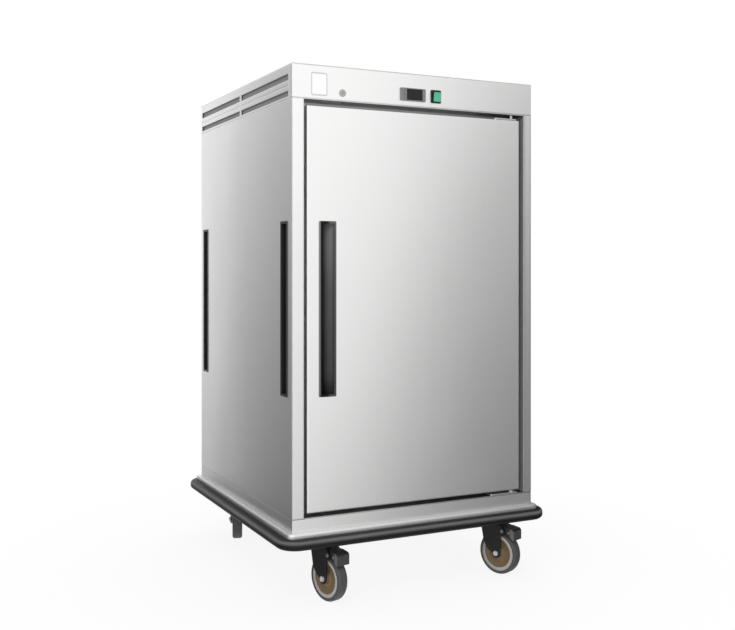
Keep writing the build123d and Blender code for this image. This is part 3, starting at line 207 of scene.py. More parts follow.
STEEL = (0.86, 0.86, 0.855)
SATIN = 0.34  # roughness of the brushed sheets
FOLD = 4 * MM  # how far the sheets look rounded at their folds
SHEET_UP = brushed("sheet_grain_upright", STEEL, SATIN, (Z,), edge=FOLD)
SHEET_ACROSS = brushed("sheet_grain_across", STEEL, SATIN, (X,), edge=FOLD)
SHEET_BACK = brushed("sheet_grain_to_back", STEEL, SATIN, (Y,), edge=FOLD)
PLAIN = (0.66, 0.66, 0.655)  # of the back and the top
PLAIN_UP = brushed("plain_sheet_upright", PLAIN, 0.42, (Z,), edge=FOLD)
PLAIN_ACROSS = brushed("plain_sheet_across", PLAIN, 0.44, (X,), edge=FOLD)
CHAMBER = brushed("chamber_sheet", (0.70, 0.70, 0.69), 0.38, (Z,))
HINGE = brushed("hinge_steel", (0.62, 0.62, 0.61), 0.40, (X,))
TRAY = brushed("tray_sheet", (0.80, 0.80, 0.795), 0.50, ())
PLINTH = brushed("plinth_sheet", STEEL, 0.36, (X, Y))
FRAME_PAINT = moulded("frame_paint", (0.16, 0.165, 0.17), 0.45, grain=900)
BLACK = (0.016, 0.016, 0.017)
BLACK_PLASTIC = moulded("black_plastic", BLACK, 0.40)
GASKET = moulded("gasket_rubber", (0.030, 0.030, 0.031), 0.6, grain=900)
BEZEL = moulded("bezel_grey", (0.22, 0.222, 0.226), 0.38)
KEY = moulded("key_grey", (0.17, 0.175, 0.185), 0.4)
SWITCH = moulded("switch_black", (0.014, 0.014, 0.015), 0.34)
LOCK = plated("lock_plate", (0.40, 0.40, 0.40), 0.26)
ZINC = plated("zinc_plate", (0.66, 0.67, 0.68), 0.3)
AXLE = plated("axle_zinc", (0.80, 0.81, 0.80), 0.42, metallic=0.35)
PIN = plated("pin_steel", (0.20, 0.20, 0.20), 0.45, metallic=0.4)
MOTOR = plated("motor_casting", (0.50, 0.50, 0.50), 0.45)
HEATER = plated("heater_sheath", (0.24, 0.20, 0.18), 0.42)
FORK_COAT = moulded("fork_coat", (0.014, 0.014, 0.015), 0.38, grain=1000)
TYRE = moulded("tyre_rubber", (0.075, 0.076, 0.078), 0.55, grain=900)
RIM = moulded("rim_grey", (0.54, 0.525, 0.50), 0.45)
HUB_BROWN = moulded("hub_brown", (0.22, 0.145, 0.07), 0.42)


def place_in(tree, axis):
    """A coordinate of the object's own place."""
    place = node(tree, "ShaderNodeTexCoord")
    split = node(tree, "ShaderNodeSeparateXYZ")
    tree.links.new(place.outputs["Object"], split.inputs[0])
    return split.outputs[axis]


def measured_from(start, stops):
    """Stops measured from a start."""
    return [(start + at, level) for at, level in stops]


def facing(tree, way, low=0.90, high=0.97):
    """1 where the surface faces a way in the object's own frame, 0 elsewhere."""
    place = node(tree, "ShaderNodeTexCoord")
    along = node(tree, "ShaderNodeVectorMath", operation="DOT_PRODUCT")
    along.inputs[1].default_value = Vector(way).normalized()
    tree.links.new(place.outputs["Normal"], along.inputs[0])
    return spread(tree, along.outputs["Value"], 0.0, 1.0, low, high)


def product(tree, first, second):
    """The product of two values."""
    times = node(tree, "ShaderNodeMath", operation="MULTIPLY")
    tree.links.new(first, times.inputs[0])
    tree.links.new(second, times.inputs[1])
    return times.outputs["Value"]


def over(tree, share, below, above):
    """One colour laid over another by a share from 0 to 1."""
    mix = node(tree, "ShaderNodeMix", data_type="RGBA")
    tree.links.new(share, mix.inputs[0])
    tree.links.new(below, mix.inputs[6])
    tree.links.new(above, mix.inputs[7])
    return mix.outputs[2]


def smoked():
    """A smoked window: a dark body with a satin face."""
    made, tree, main = material("window_smoke")
    main.inputs["Specular IOR Level"].default_value = 0.25
    smear = noise(tree, (40, 40, 90), detail=4.0)
    tree.links.new(spread(tree, smear, 0.24, 0.36), main.inputs["Roughness"])
    smoke = tint(tree, smear, (0.010, 0.010, 0.011), (0.016, 0.016, 0.018))
    tree.links.new(smoke, main.inputs["Base Color"])
    return made


def lit_green():
    """A rocker with a lit green face and sides in painted shade."""
    made, tree, main = material("rocker_green")
    face = facing(tree, (0, -1, 0), 0.80, 0.90)
    cloud = noise(tree, (160, 160, 160), detail=3.0)
    green = tint(tree, cloud, (0.055, 0.36, 0.22), (0.085, 0.47, 0.30))
    # painted shade: a darker copy of the green on the sides
    side = tint(tree, cloud, (0.012, 0.020, 0.017), (0.020, 0.030, 0.025))
    tree.links.new(over(tree, face, side, green), main.inputs["Base Color"])
    tree.links.new(spread(tree, cloud, 0.22, 0.34), main.inputs["Roughness"])
    main.inputs["Emission Color"].default_value = (0.10, 0.62, 0.38, 1)
    tree.links.new(spread(tree, face, 0.0, 0.16, 0.0, 1.0), main.inputs["Emission Strength"])
    return made


def bumper_painted_highlight():
    """Black rubber with a patchy painted highlight in a band along its shoulder, and painted shade at
    its top.
    """
    made, tree, main = material("bumper_rubber")
    main.inputs["Specular IOR Level"].default_value = 0.15
    low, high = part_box("bumper")
    height = spread(tree, place_in(tree, "Z"), 0.0, 1.0, low.z, high.z)
    # painted highlight along the shoulder and painted shade at the top, by height
    band = ramp(tree, height, BUMPER_HIGHLIGHT)
    highlight_patches = noise(tree, (5, 5, 60), detail=4.0)
    fine = noise(tree, (700, 700, 700))
    painted_highlight = product(tree, band, spread(tree, highlight_patches, 0.75, 1.1))
    rubber = tint(tree, painted_highlight, (0.004, 0.004, 0.004), (0.50, 0.50, 0.50))
    tree.links.new(rubber, main.inputs["Base Color"])
    tree.links.new(spread(tree, fine, 0.36, 0.48), main.inputs["Roughness"])
    relief(tree, main, fine, GRAIN_DEPTH, GRAIN_STRENGTH)
    return made


def pull_painted_light():
    """Black plastic with painted light: its sloping face, the right part of its front and its outer edge
    are painted grey, lighter toward the top, and the slope is in painted shade deep in the recess.
    """
    made, tree, main = material("pull_plastic")
    main.inputs["Specular IOR Level"].default_value = 0.12
    low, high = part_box("door_handle")
    fine = noise(tree, (GRAIN, GRAIN, GRAIN))
    broad = noise(tree, PATCHES, detail=4.0)
    black = tint(tree, broad, (0.006, 0.006, 0.006), (0.010, 0.010, 0.010))
    rise = spread(tree, place_in(tree, "Z"), 0.0, 1.0, low.z, high.z)
    # painted light: the sloping face is greyer toward the top
    grey = ramp(tree, rise, PULL_PAINTED_LIGHT)
    # painted shade deep in the recess
    depth = ramp(tree, place_in(tree, "X"), measured_from(low.x, PULL_PAINTED_SHADE))
    # painted light on the right part of the front, lighter toward the top
    rim = tint(tree, rise, (0.075, 0.075, 0.076), (0.13, 0.13, 0.132))
    slope = facing(tree, PULL_WAY, 0.96, 0.985)
    start, end = (low.x + high.x) / 2, (low.x + 2 * high.x) / 3
    across = spread(tree, place_in(tree, "X"), 0.0, 1.0, start, end)
    front = product(tree, facing(tree, (0, -1, 0), 0.7, 0.9), across)
    # painted highlight along the outer left edge
    edge = spread(tree, place_in(tree, "X"), 1.0, 0.0, low.x + PULL_EDGE_HIGHLIGHT[0], low.x + PULL_EDGE_HIGHLIGHT[1])
    edge_highlight = tint(tree, rise, (0.20, 0.20, 0.20), (0.30, 0.30, 0.30))
    painted_highlight = over(tree, edge, over(tree, front, black, rim), edge_highlight)
    tree.links.new(over(tree, slope, painted_highlight, grey), main.inputs["Base Color"])
    darken(tree, main, slope, depth)
    tree.links.new(spread(tree, fine, 0.34, 0.46), main.inputs["Roughness"])
    relief(tree, main, fine, GRAIN_DEPTH, GRAIN_STRENGTH)
    return made


def darken(tree, main, share, tone):
    """The main shader's colour times a tone, by a share from 0 to 1."""
    mix = node(tree, "ShaderNodeMix", data_type="RGBA", blend_type="MULTIPLY")
    tree.links.new(share, mix.inputs[0])
    tree.links.new(main.inputs["Base Color"].links[0].from_socket, mix.inputs[6])
    tree.links.new(tone, mix.inputs[7])
    tree.links.new(mix.outputs[2], main.inputs["Base Color"])


def frame_sheet_painted_shade():
    """Brushed sheet with painted shade: darker low down, on its inner faces and beside the door's right
    edge, and matt and darker on the hinge side's inner face.
    """
    made = brushed("frame_sheet_painted_shade", STEEL, SATIN, (Z,), edge=1.5 * FOLD)
    tree = made.node_tree
    main = tree.nodes["Principled BSDF"]
    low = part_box("door_frame")[0]
    # painted shade in the gaps under the head and over the sill
    gap_shade = ramp(tree, place_in(tree, "Y"), measured_from(low.y, HEAD_PAINTED_SHADE))
    darken(tree, main, facing(tree, (0, 0, -1)), gap_shade)
    # painted shade low on the left post's inner face
    rise = ramp(tree, place_in(tree, "Z"), measured_from(low.z, POST_PAINTED_SHADE))
    darken(tree, main, facing(tree, (1, 0, 0)), rise)
    darken(tree, main, facing(tree, (0, 0, 1)), gap_shade)
    # painted shade on the front beside the door's right edge
    door_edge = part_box("door_skin")[1].x
    edge = ramp(tree, place_in(tree, "X"), measured_from(door_edge, EDGE_PAINTED_SHADE))
    darken(tree, main, facing(tree, (0, -1, 0)), edge)
    # painted shade on the hinge side's inner face, which is also made matt
    inner = ramp(tree, place_in(tree, "Y"), measured_from(low.y, INNER_PAINTED_SHADE))
    beside = spread(tree, place_in(tree, "X"), 0.0, 1.0, 0.0, door_edge)
    matt = product(tree, facing(tree, (-1, 0, 0)), beside)
    darken(tree, main, matt, inner)
    tree.links.new(spread(tree, matt, 1.0, 0.0, 0.0, 1.0), main.inputs["Metallic"])
    # painted shade low down on the front
    low_shade = ramp(tree, place_in(tree, "Z"), measured_from(low.z, FRONT_PAINTED_SHADE))
    darken(tree, main, facing(tree, (0, -1, 0)), low_shade)
    return made


def foam_seam_shade():
    """Rigid foam, darkened with painted shade where it shows through the seams of the sheets."""
    made = moulded("foam", (0.60, 0.50, 0.26), 0.9, grain=500, depth=0.2 * MM)
    tree = made.node_tree
    main = tree.nodes["Principled BSDF"]
    height = place_in(tree, "Z")
    for seam in (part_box("plinth")[1].z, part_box("left_side_panel")[1].z):
        over_it = spread(tree, height, 1.0, 0.0, seam + SEAM_SHADE_SPAN[0], seam + SEAM_SHADE_SPAN[1])
        under_it = spread(tree, height, 0.0, 1.0, seam - SEAM_SHADE_SPAN[1], seam - SEAM_SHADE_SPAN[0])
        # painted shade behind the seam
        seam_shade = tint(tree, noise(tree, (90, 90, 90)), (0.03, 0.03, 0.03), (0.06, 0.06, 0.06))
        darken(tree, main, product(tree, over_it, under_it), seam_shade)
    return made


def pedal_coat(corner):
    """A black coat, grey on the front of the head and paler on the head's sides."""
    made, tree, main = material(f"{corner}_pedal_coat")
    brake = JOINTS[f"{corner}_brake"]
    across = Vector(brake["axis"])
    trailing = across.cross(Vector((0, 0, 1)))
    reach = trailing.dot(Vector(brake["pos_m"]))
    place = node(tree, "ShaderNodeTexCoord")
    along = node(tree, "ShaderNodeVectorMath", operation="DOT_PRODUCT")
    along.inputs[1].default_value = trailing
    tree.links.new(place.outputs["Object"], along.inputs[0])
    start, end = reach + PEDAL_HEAD_SPAN[0], reach + PEDAL_HEAD_SPAN[1]
    head = spread(tree, along.outputs["Value"], 0.0, 1.0, start, end)
    cheeks = product(tree, head, total(tree, facing(tree, across), facing(tree, -across)))
    front = facing(tree, trailing)
    broad = noise(tree, (40, 40, 40), detail=4.0)
    fine = noise(tree, (1000, 1000, 1000))
    black = tint(tree, broad, (0.011, 0.011, 0.012), (0.016, 0.016, 0.017))
    grey = tint(tree, broad, (0.045, 0.045, 0.045), (0.065, 0.065, 0.065))
    pale = tint(tree, broad, (0.12, 0.12, 0.12), (0.16, 0.16, 0.16))
    tree.links.new(over(tree, cheeks, over(tree, front, black, grey), pale), main.inputs["Base Color"])
    tree.links.new(spread(tree, broad, 0.36, 0.50), main.inputs["Roughness"])
    relief(tree, main, fine, GRAIN_DEPTH, GRAIN_STRENGTH)
    return made


def within(tree, axis, middle, half):
    """1 where a coordinate of the object's own place lies close to a middle, 0 elsewhere."""
    close = node(tree, "ShaderNodeMath", {1: middle, 2: half}, operation="COMPARE")
    tree.links.new(place_in(tree, axis), close.inputs[0])
    return close.outputs["Value"]


def inlet_plastic():
    """Black plastic with nickel pins in its socket."""
    made = moulded("inlet_plastic", BLACK, 0.40)
    tree = made.node_tree
    main = tree.nodes["Principled BSDF"]
    low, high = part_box("power_inlet")
    middle = (low + high) / 2
    floor_y = high.y - INLET_DEPTH
    beside = within(tree, "X", middle.x, INLET_PINS[0])
    level = within(tree, "Z", middle.z, INLET_PINS[1])
    start, end = floor_y + INLET_FOOT[0], floor_y + INLET_FOOT[1]
    above = spread(tree, place_in(tree, "Y"), 0.0, 1.0, start, end)
    pins = product(tree, product(tree, beside, level), above)
    nickel = tint(tree, noise(tree, (400, 400, 400)), (0.66, 0.64, 0.58), (0.74, 0.72, 0.66))
    black = main.inputs["Base Color"].links[0].from_socket
    tree.links.new(over(tree, pins, black, nickel), main.inputs["Base Color"])
    tree.links.new(pins, main.inputs["Metallic"])
    return made


def badge_face():
    """A blank plate: a grey rim round a pale face."""
    made, tree, main = material("badge_plate", Roughness=0.36, Metallic=1.0)
    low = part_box("control_fascia")[0]
    raised = spread(tree, place_in(tree, "Y"), 1.0, 0.0, low.y - BADGE_RIM, low.y - BADGE_FACE)
    speck = noise(tree, (600, 600, 600))
    face = tint(tree, speck, (0.88, 0.88, 0.88), (0.92, 0.92, 0.92))
    rim = tint(tree, speck, (0.58, 0.58, 0.59), (0.62, 0.62, 0.63))
    tree.links.new(over(tree, raised, face, rim), main.inputs["Base Color"])
    relief(tree, main, speck, 0.02 * MM, 0.4)
    return made


def wire_cloth():
    """Fine woven wire, paler on its crowns: a painted highlight."""
    made, tree, main = material("wire_cloth", Roughness=0.5, Metallic=0.3)
    place = node(tree, "ShaderNodeTexCoord")
    weaves = []
    for axis in ("Y", "Z"):
        wave = node(tree, "ShaderNodeTexWave", {"Scale": CLOTH_WIRES}, bands_direction=axis)
        tree.links.new(place.outputs["Object"], wave.inputs["Vector"])
        weaves.append(wave.outputs["Fac"])
    crown = product(tree, *weaves)
    # painted highlight: paler on the crowns of the weave
    tree.links.new(tint(tree, crown, (0.20, 0.20, 0.20), (0.42, 0.42, 0.42)), main.inputs["Base Color"])
    relief(tree, main, crown, 0.1 * MM, 0.6)
    return made


BUMPER_HIGHLIGHT = (  # share of the height, and how strong the painted highlight is there; the top end is painted shade
    (0.0, 0.014),
    (0.42, 0.014),
    (0.55, 0.06),
    (0.66, 0.20),
    (0.77, 0.33),
    (0.87, 0.24),
    (0.94, 0.08),
    (0.975, 0.01),
    (1.0, 0.0),
)
HEAD_PAINTED_SHADE = (  # from the front, and how light the painted shade in the gap leaves the head and sill there
    (0.0, 0.72),
    (5 * MM, 0.50),
    (15 * MM, 0.20),
    (30 * MM, 0.10),
    (63 * MM, 0.08),
)
POST_PAINTED_SHADE = (  # height over the frame's foot, and how light the painted shade leaves the left post's inner face there
    (0.0, 0.45),
    (266.5 * MM, 0.80),
    (666.5 * MM, 1.0),
    (1115 * MM, 1.0),
)
FRONT_PAINTED_SHADE = (  # height over the frame's foot, and how light the painted shade leaves its front there
    (0.0, 0.92),
    (266.5 * MM, 0.92),
    (666.5 * MM, 0.95),
    (966.5 * MM, 1.0),
    (1115 * MM, 1.0),
)
INNER_PAINTED_SHADE = (  # from the front, and how light the painted shade leaves the hinge side's inner face there
    (0.0, 0.17),
    (3 * MM, 0.27),
    (8 * MM, 0.30),
    (20 * MM, 0.36),
)
EDGE_PAINTED_SHADE = (  # from the door's right edge, and how light the painted shade leaves the frame's front there
    (-20 * MM, 1.0),
    (10 * MM, 1.0),
    (12.5 * MM, 0.32),
    (16 * MM, 0.72),
    (21 * MM, 1.0),
)
PEDAL_HEAD_SPAN = (24 * MM, 31 * MM)  # from the pedal's pivot
PULL_PAINTED_LIGHT = (  # share of the pull's height, and the painted light on its sloping face there
    (0.00, 0.036),
    (0.05, 0.036),
    (0.07, 0.053),
    (0.10, 0.074),
    (0.15, 0.090),
    (0.55, 0.126),
    (0.89, 0.210),
    (1.00, 0.230),
)
PULL_PAINTED_SHADE = (  # from the left edge of the pull, and how light the slope is there under painted shade deep in the recess
    (14 * MM, 0.05),
    (21 * MM, 0.08),
    (25 * MM, 0.45),
    (28 * MM, 0.80),
    (33 * MM, 1.0),
    (38 * MM, 0.95),
    (44 * MM, 0.70),
)
PULL_EDGE_HIGHLIGHT = (2.5 * MM, 6 * MM)  # from the left edge of the pull, where the painted highlight on its outer edge is full and where it ends
PULL_WAY = (-0.775, -0.632, 0)  # the way that the sloping face looks
INLET_DEPTH = 15 * MM  # of the socket
INLET_PINS = (9 * MM, 6.5 * MM)  # half the width and height of the room that holds the pins
INLET_FOOT = (0.2 * MM, 0.4 * MM)  # over the socket's floor, where the nickel starts
SEAM_SHADE_SPAN = (6 * MM, 14 * MM)  # from a seam, where the painted shade is full and where it ends
BADGE_RIM = 1.0 * MM  # over the control strip, and higher: the rim
BADGE_FACE = 0.7 * MM  # over the control strip, and lower: the face
CLOTH_WIRES = 500  # scale of the weave
WINDOW = smoked()
ROCKER = lit_green()
BUMPER = bumper_painted_highlight()
PULL = pull_painted_light()
FRAME_SHEET = frame_sheet_painted_shade()
BADGE = badge_face()
FOAM = foam_seam_shade()
INLET = inlet_plastic()
CLOTH = wire_cloth()

# Which finish each solid wears
WEARS = {
    "left_side_panel": SHEET_UP,
    "right_side_panel": SHEET_UP,
    "back_panel": PLAIN_UP,
    "door_skin": SHEET_UP,
    "door_frame": FRAME_SHEET,
    "left_vent_panel": SHEET_BACK,
    "right_vent_panel": SHEET_BACK,
    "top_cover": PLAIN_ACROSS,
    "base_tray": TRAY,
    "control_fascia": SHEET_ACROSS,
    "plinth": PLINTH,
    "hood_floor": CHAMBER,
    "inner_liner": CHAMBER,
    "left_tray_rack": CHAMBER,
    "right_tray_rack": CHAMBER,
    "air_baffle": CHAMBER,
    "door_liner": CHAMBER,
    "base_frame": FRAME_PAINT,
    "side_grips": BLACK_PLASTIC,
    "door_handle": PULL,
    "power_inlet": INLET,
    "bumper": BUMPER,
    "insulation": FOAM,
    "door_insulation": FOAM,
    "door_gasket": GASKET,
    "hinge_brackets": HINGE,
    "hinge_bushes": HINGE,
    "controller_body": BEZEL,
    "controller_window": WINDOW,
    "up_key": KEY,
    "set_key": KEY,
    "down_key": KEY,
    "switch_frame": SWITCH,
    "switch_rocker": ROCKER,
    "lock_barrel": LOCK,
    "lock_plug": LOCK,
    "caster_plates": ZINC,
    "caster_bolts": ZINC,
    "fan_motor": MOTOR,
    "fan_impeller": MOTOR,
    "heating_element": HEATER,
    "temperature_probe": HEATER,
}
for corner in CORNERS:
    WEARS[f"{corner}_fork"] = FORK_COAT
    WEARS[f"{corner}_axle"] = AXLE
    WEARS[f"{corner}_hub"] = RIM
    WEARS[f"{corner}_tyre"] = TYRE
for corner in BRAKED:
    WEARS[f"{corner}_brake_pedal"] = pedal_coat(corner)
for name, finish in WEARS.items():
    solid = NODES[name]
    solid.data.materials.clear()
    solid.data.materials.append(finish)


# Pieces made here
def piece(name, mesh, finish, body, smooth=40):
    """A mesh made into a piece that rides on a body, smooth up to an angle between its faces."""
    bmesh.ops.recalc_face_normals(mesh, faces=mesh.faces[:])
    data = bpy.data.meshes.new(name)
    mesh.to_mesh(data)
    mesh.free()
    data.materials.append(finish)
    made = bpy.data.objects.new(name, data)
    bpy.context.scene.collection.objects.link(made)
    data.shade_smooth()
    data.set_sharp_from_angle(angle=math.radians(smooth))
    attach(made, body)
    return made


def toward(at, axis):
    """A matrix that stands +Z along an axis at a point."""
    turn = Vector(axis).normalized().to_track_quat("Z", "Y").to_matrix().to_4x4()
    return Matrix.Translation(Vector(at)) @ turn


WELD = 1e-7  # points closer than this are one
LEAST_R = 0.1 * MM  # smallest corner of a plate


def turned(mesh, profile, place, steps=48):
    """A closed profile of (radius, height) spun about an axis."""
    rings = []
    for step in range(steps):
        angle = 2 * math.pi * step / steps
        ring = []
        for radius, height in profile:
            point = place @ Vector((radius * math.cos(angle), radius * math.sin(angle), height))
            ring.append(mesh.verts.new(point))
        rings.append(ring)
    count = len(profile)
    for step in range(steps):
        here, after = rings[step], rings[(step + 1) % steps]
        for i in range(count):
            j = (i + 1) % count
            mesh.faces.new((here[i], here[j], after[j], after[i]))
    bmesh.ops.remove_doubles(mesh, verts=mesh.verts[:], dist=WELD)
    bmesh.ops.dissolve_degenerate(mesh, edges=mesh.edges[:], dist=WELD)


def outline(width, height, radius, steps=6):
    """Points of a rounded rectangle about the origin, anticlockwise."""
    points = []
    for quarter in range(4):
        turn = math.pi / 2 * quarter
        sign_x = 1 if quarter in (0, 3) else -1
        sign_y = 1 if quarter in (0, 1) else -1
        for step in range(steps + 1):
            angle = turn + math.pi / 2 * step / steps
            x = sign_x * (width / 2 - radius) + radius * math.cos(angle)
            y = sign_y * (height / 2 - radius) + radius * math.sin(angle)
            points.append((x, y))
    return points


def pressed(mesh, place, width, height, radius, rings):
    """A rounded plate whose section is a list of (inset from its edge, height over its back)."""
    loops = []
    for inset, rise in rings:
        shape = outline(width - 2 * inset, height - 2 * inset, max(radius - inset, LEAST_R))
        loops.append([mesh.verts.new(place @ Vector((x, y, rise))) for x, y in shape])
    for here, after in zip(loops, loops[1:]):
        for i in range(len(here)):
            j = (i + 1) % len(here)
            mesh.faces.new((here[i], here[j], after[j], after[i]))
    mesh.faces.new(loops[-1])
    mesh.faces.new(list(reversed(loops[0])))


def dome(radius, rise, steps=5):
    """The closed profile of a domed head, from its edge to its middle."""
    points = [(0, 0), (radius, 0)]
    for step in range(1, steps + 1):
        angle = math.pi / 2 * step / steps
        points.append((radius * math.cos(angle), rise * math.sin(angle)))
    return points


# Wheel faces: a dished disc on each side of a wheel's web, inside its rim
DISC_IN = 14.05 * MM
DISC_OUT = 42.4 * MM
BOSS_END = 18.1 * MM
WEB_FACE = 7.05 * MM
DISC_PROFILE = [
    (DISC_IN, WEB_FACE),
    (DISC_OUT, WEB_FACE),
    (DISC_OUT, WEB_FACE + 5.4 * MM),
    (DISC_OUT - 0.8 * MM, WEB_FACE + 6.2 * MM),
    (DISC_OUT - 2.4 * MM, WEB_FACE + 6.2 * MM),
    (DISC_OUT - 4.4 * MM, WEB_FACE + 4.6 * MM),
    (DISC_IN + 9.0 * MM, WEB_FACE + 2.8 * MM),
    (DISC_IN + 4.4 * MM, WEB_FACE + 3.6 * MM),
    (DISC_IN + 2.2 * MM, WEB_FACE + 5.2 * MM),
    (DISC_IN + 1.0 * MM, BOSS_END - 0.5 * MM),
    (DISC_IN, BOSS_END),
]
for corner in CORNERS:
    roll = JOINTS[f"{corner}_roll"]
    for side, label in ((-1, "left"), (1, "right")):
        disc = bmesh.new()
        turned(disc, DISC_PROFILE, toward(roll["pos_m"], side * Vector(roll["axis"])), steps=72)
        piece(f"{corner}_{label}_wheel_disc", disc, HUB_BROWN, f"{corner}_wheel")

# Brake pins: domed ends in the fork's legs and in the pedal's sides
FORK_HALF = 22.5 * MM
PEDAL_HALF = 21 * MM
SHOE_PIN = (23 * MM, -2 * MM)  # trailing and rise, from the pedal's pivot
PIVOT_PIN_R = 5.4 * MM
SHOE_PIN_R = 4.1 * MM
PIN_RISE = 0.4  # height of a domed end, as a share of its radius
for corner in BRAKED:
    brake = JOINTS[f"{corner}_brake"]
    pivot = Vector(brake["pos_m"])
    across = Vector(brake["axis"])
    trailing = across.cross(Vector((0, 0, 1)))
    shoe = pivot + trailing * SHOE_PIN[0] + Vector((0, 0, SHOE_PIN[1]))
    for label, at, reach, radius, body in (
        ("pivot", pivot, FORK_HALF, PIVOT_PIN_R, f"{corner}_swivel"),
        ("shoe", shoe, PEDAL_HALF, SHOE_PIN_R, f"{corner}_pedal"),
    ):
        ends = bmesh.new()
        for side in (-1, 1):
            place = toward(at + side * across * reach, side * across)
            turned(ends, dome(radius, PIN_RISE * radius), place, steps=24)
        piece(f"{corner}_{label}_pin_ends", ends, PIN, body)

# Blank badge: a plate with a raised rim, bonded to the control strip
BADGE_W = 48 * MM
BADGE_H = 62 * MM
BADGE_R = 6 * MM
BADGE_SMOOTH = 15  # degrees, so that its flat faces stay flat
BADGE_FROM_LEFT = 77 * MM
BADGE_FROM_TOP = 49.5 * MM
BADGE_SECTION = (  # inset from the edge, and height over the back
    (0, 0),
    (0, 0.6 * MM),
    (0.5 * MM, 1.1 * MM),
    (3.2 * MM, 1.1 * MM),
    (3.8 * MM, 0.6 * MM),
)
fascia_low, fascia_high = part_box("control_fascia")
badge_at = (fascia_low.x + BADGE_FROM_LEFT, fascia_low.y, fascia_high.z - BADGE_FROM_TOP)
FACE_FRONT = Matrix(((1, 0, 0), (0, 0, -1), (0, 1, 0))).to_4x4()
badge = bmesh.new()
pressed(
    badge,
    Matrix.Translation(badge_at) @ FACE_FRONT,
    BADGE_W,
    BADGE_H,
    BADGE_R,
    BADGE_SECTION,
)
piece("blank_badge", badge, BADGE, "cabinet", smooth=BADGE_SMOOTH)

# Vent screens: a folded strip of wire cloth behind the slots of each vent panel
SCREEN_SETBACK = 4 * MM
SCREEN_T = 0.8 * MM
SCREEN_INSET = 6 * MM  # from the panel's edges
SCREEN_GAP = 0.2 * MM
for label, side in (("left", -1), ("right", 1)):
    low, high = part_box(f"{label}_vent_panel")
    panel_x = high.x if side < 0 else low.x
    ends_y = (low.y + SCREEN_INSET, high.y - SCREEN_INSET)
    edges_z = (low.z + SCREEN_INSET, high.z - SCREEN_INSET)
    section = (
        (SCREEN_GAP, edges_z[0]),
        (SCREEN_SETBACK, edges_z[0]),
        (SCREEN_SETBACK, edges_z[1]),
        (SCREEN_GAP, edges_z[1]),
        (SCREEN_GAP, edges_z[1] - SCREEN_T),
        (SCREEN_SETBACK - SCREEN_T, edges_z[1] - SCREEN_T),
        (SCREEN_SETBACK - SCREEN_T, edges_z[0] + SCREEN_T),
        (SCREEN_GAP, edges_z[0] + SCREEN_T),
    )
    screen = bmesh.new()
    loops = []
    for y in ends_y:
        loops.append([screen.verts.new((panel_x - side * depth, y, z)) for depth, z in section])
    for i in range(len(section)):
        j = (i + 1) % len(section)
        screen.faces.new((loops[0][i], loops[0][j], loops[1][j], loops[1][i]))
    screen.faces.new(loops[0])
    screen.faces.new(list(reversed(loops[1])))
    piece(f"{label}_vent_screen", screen, CLOTH, "cabinet")


# The studio: a pale floor, a white surround, soft lamps, and a toned tent that only reflections see
def stage_object(name, points, faces, finish):
    """A mesh of the studio."""
    data = bpy.data.meshes.new(name)
    data.from_pydata([tuple(point) for point in points], [], faces)
    data.materials.append(finish)
    made = bpy.data.objects.new(name, data)
    bpy.context.scene.collection.objects.link(made)
    return made


FLOOR_HALF = 9.0
FLOOR_FADE = (0.6, 1.3)  # from the middle, where the white grows and where it is full
FLOOR_WHITE = 0.88  # share of plain white in the floor near the object


def seen_rays(tree):
    """1 for rays from the camera, from gloss and through glass."""
    path = node(tree, "ShaderNodeLightPath")
    first = node(tree, "ShaderNodeMath", operation="MAXIMUM")
    second = node(tree, "ShaderNodeMath", operation="MAXIMUM")
    tree.links.new(path.outputs["Is Camera Ray"], first.inputs[0])
    tree.links.new(path.outputs["Is Glossy Ray"], first.inputs[1])
    tree.links.new(first.outputs[0], second.inputs[0])
    tree.links.new(path.outputs["Is Transmission Ray"], second.inputs[1])
    return second.outputs[0]


def floor_finish():
    """A pale floor with a faint shadow, that turns to the white of the surround away from the object."""
    made, tree, main = material("floor_pale", Roughness=0.8)
    main.inputs["Specular IOR Level"].default_value = 0.0
    speck = noise(tree, (30, 30, 30), detail=4.0)
    tree.links.new(tint(tree, speck, (0.90, 0.90, 0.90), (0.94, 0.94, 0.94)), main.inputs["Base Color"])
    place = node(tree, "ShaderNodeTexCoord")
    length = node(tree, "ShaderNodeVectorMath", operation="LENGTH")
    tree.links.new(place.outputs["Object"], length.inputs[0])
    far = spread(tree, length.outputs["Value"], FLOOR_WHITE, 1.0, *FLOOR_FADE)
    share = node(tree, "ShaderNodeMath", operation="MULTIPLY")
    tree.links.new(far, share.inputs[0])
    tree.links.new(seen_rays(tree), share.inputs[1])
    white = node(tree, "ShaderNodeEmission", {"Color": (1, 1, 1, 1), "Strength": 1.0})
    mix = node(tree, "ShaderNodeMixShader")
    tree.links.new(share.outputs[0], mix.inputs[0])
    tree.links.new(main.outputs[0], mix.inputs[1])
    tree.links.new(white.outputs[0], mix.inputs[2])
    tree.links.new(mix.outputs[0], tree.nodes["Material Output"].inputs["Surface"])
    return made


floor = stage_object(
    "floor",
    [
        (-FLOOR_HALF, -FLOOR_HALF, 0),
        (FLOOR_HALF, -FLOOR_HALF, 0),
        (FLOOR_HALF, FLOOR_HALF, 0),
        (-FLOOR_HALF, FLOOR_HALF, 0),
    ],
    [(0, 1, 2, 3)],
    floor_finish(),
)
floor.visible_glossy = False

SURROUND_LIGHT = 0.62  # on the object, where white is 1
world = bpy.data.worlds.new("surround")
world.use_nodes = True
bpy.context.scene.world = world
back = world.node_tree.nodes["Background"]
back.inputs["Color"].default_value = (1, 1, 1, 1)
strength = spread(world.node_tree, seen_rays(world.node_tree), SURROUND_LIGHT, 1.0, 0.0, 1.0)
world.node_tree.links.new(strength, back.inputs["Strength"])


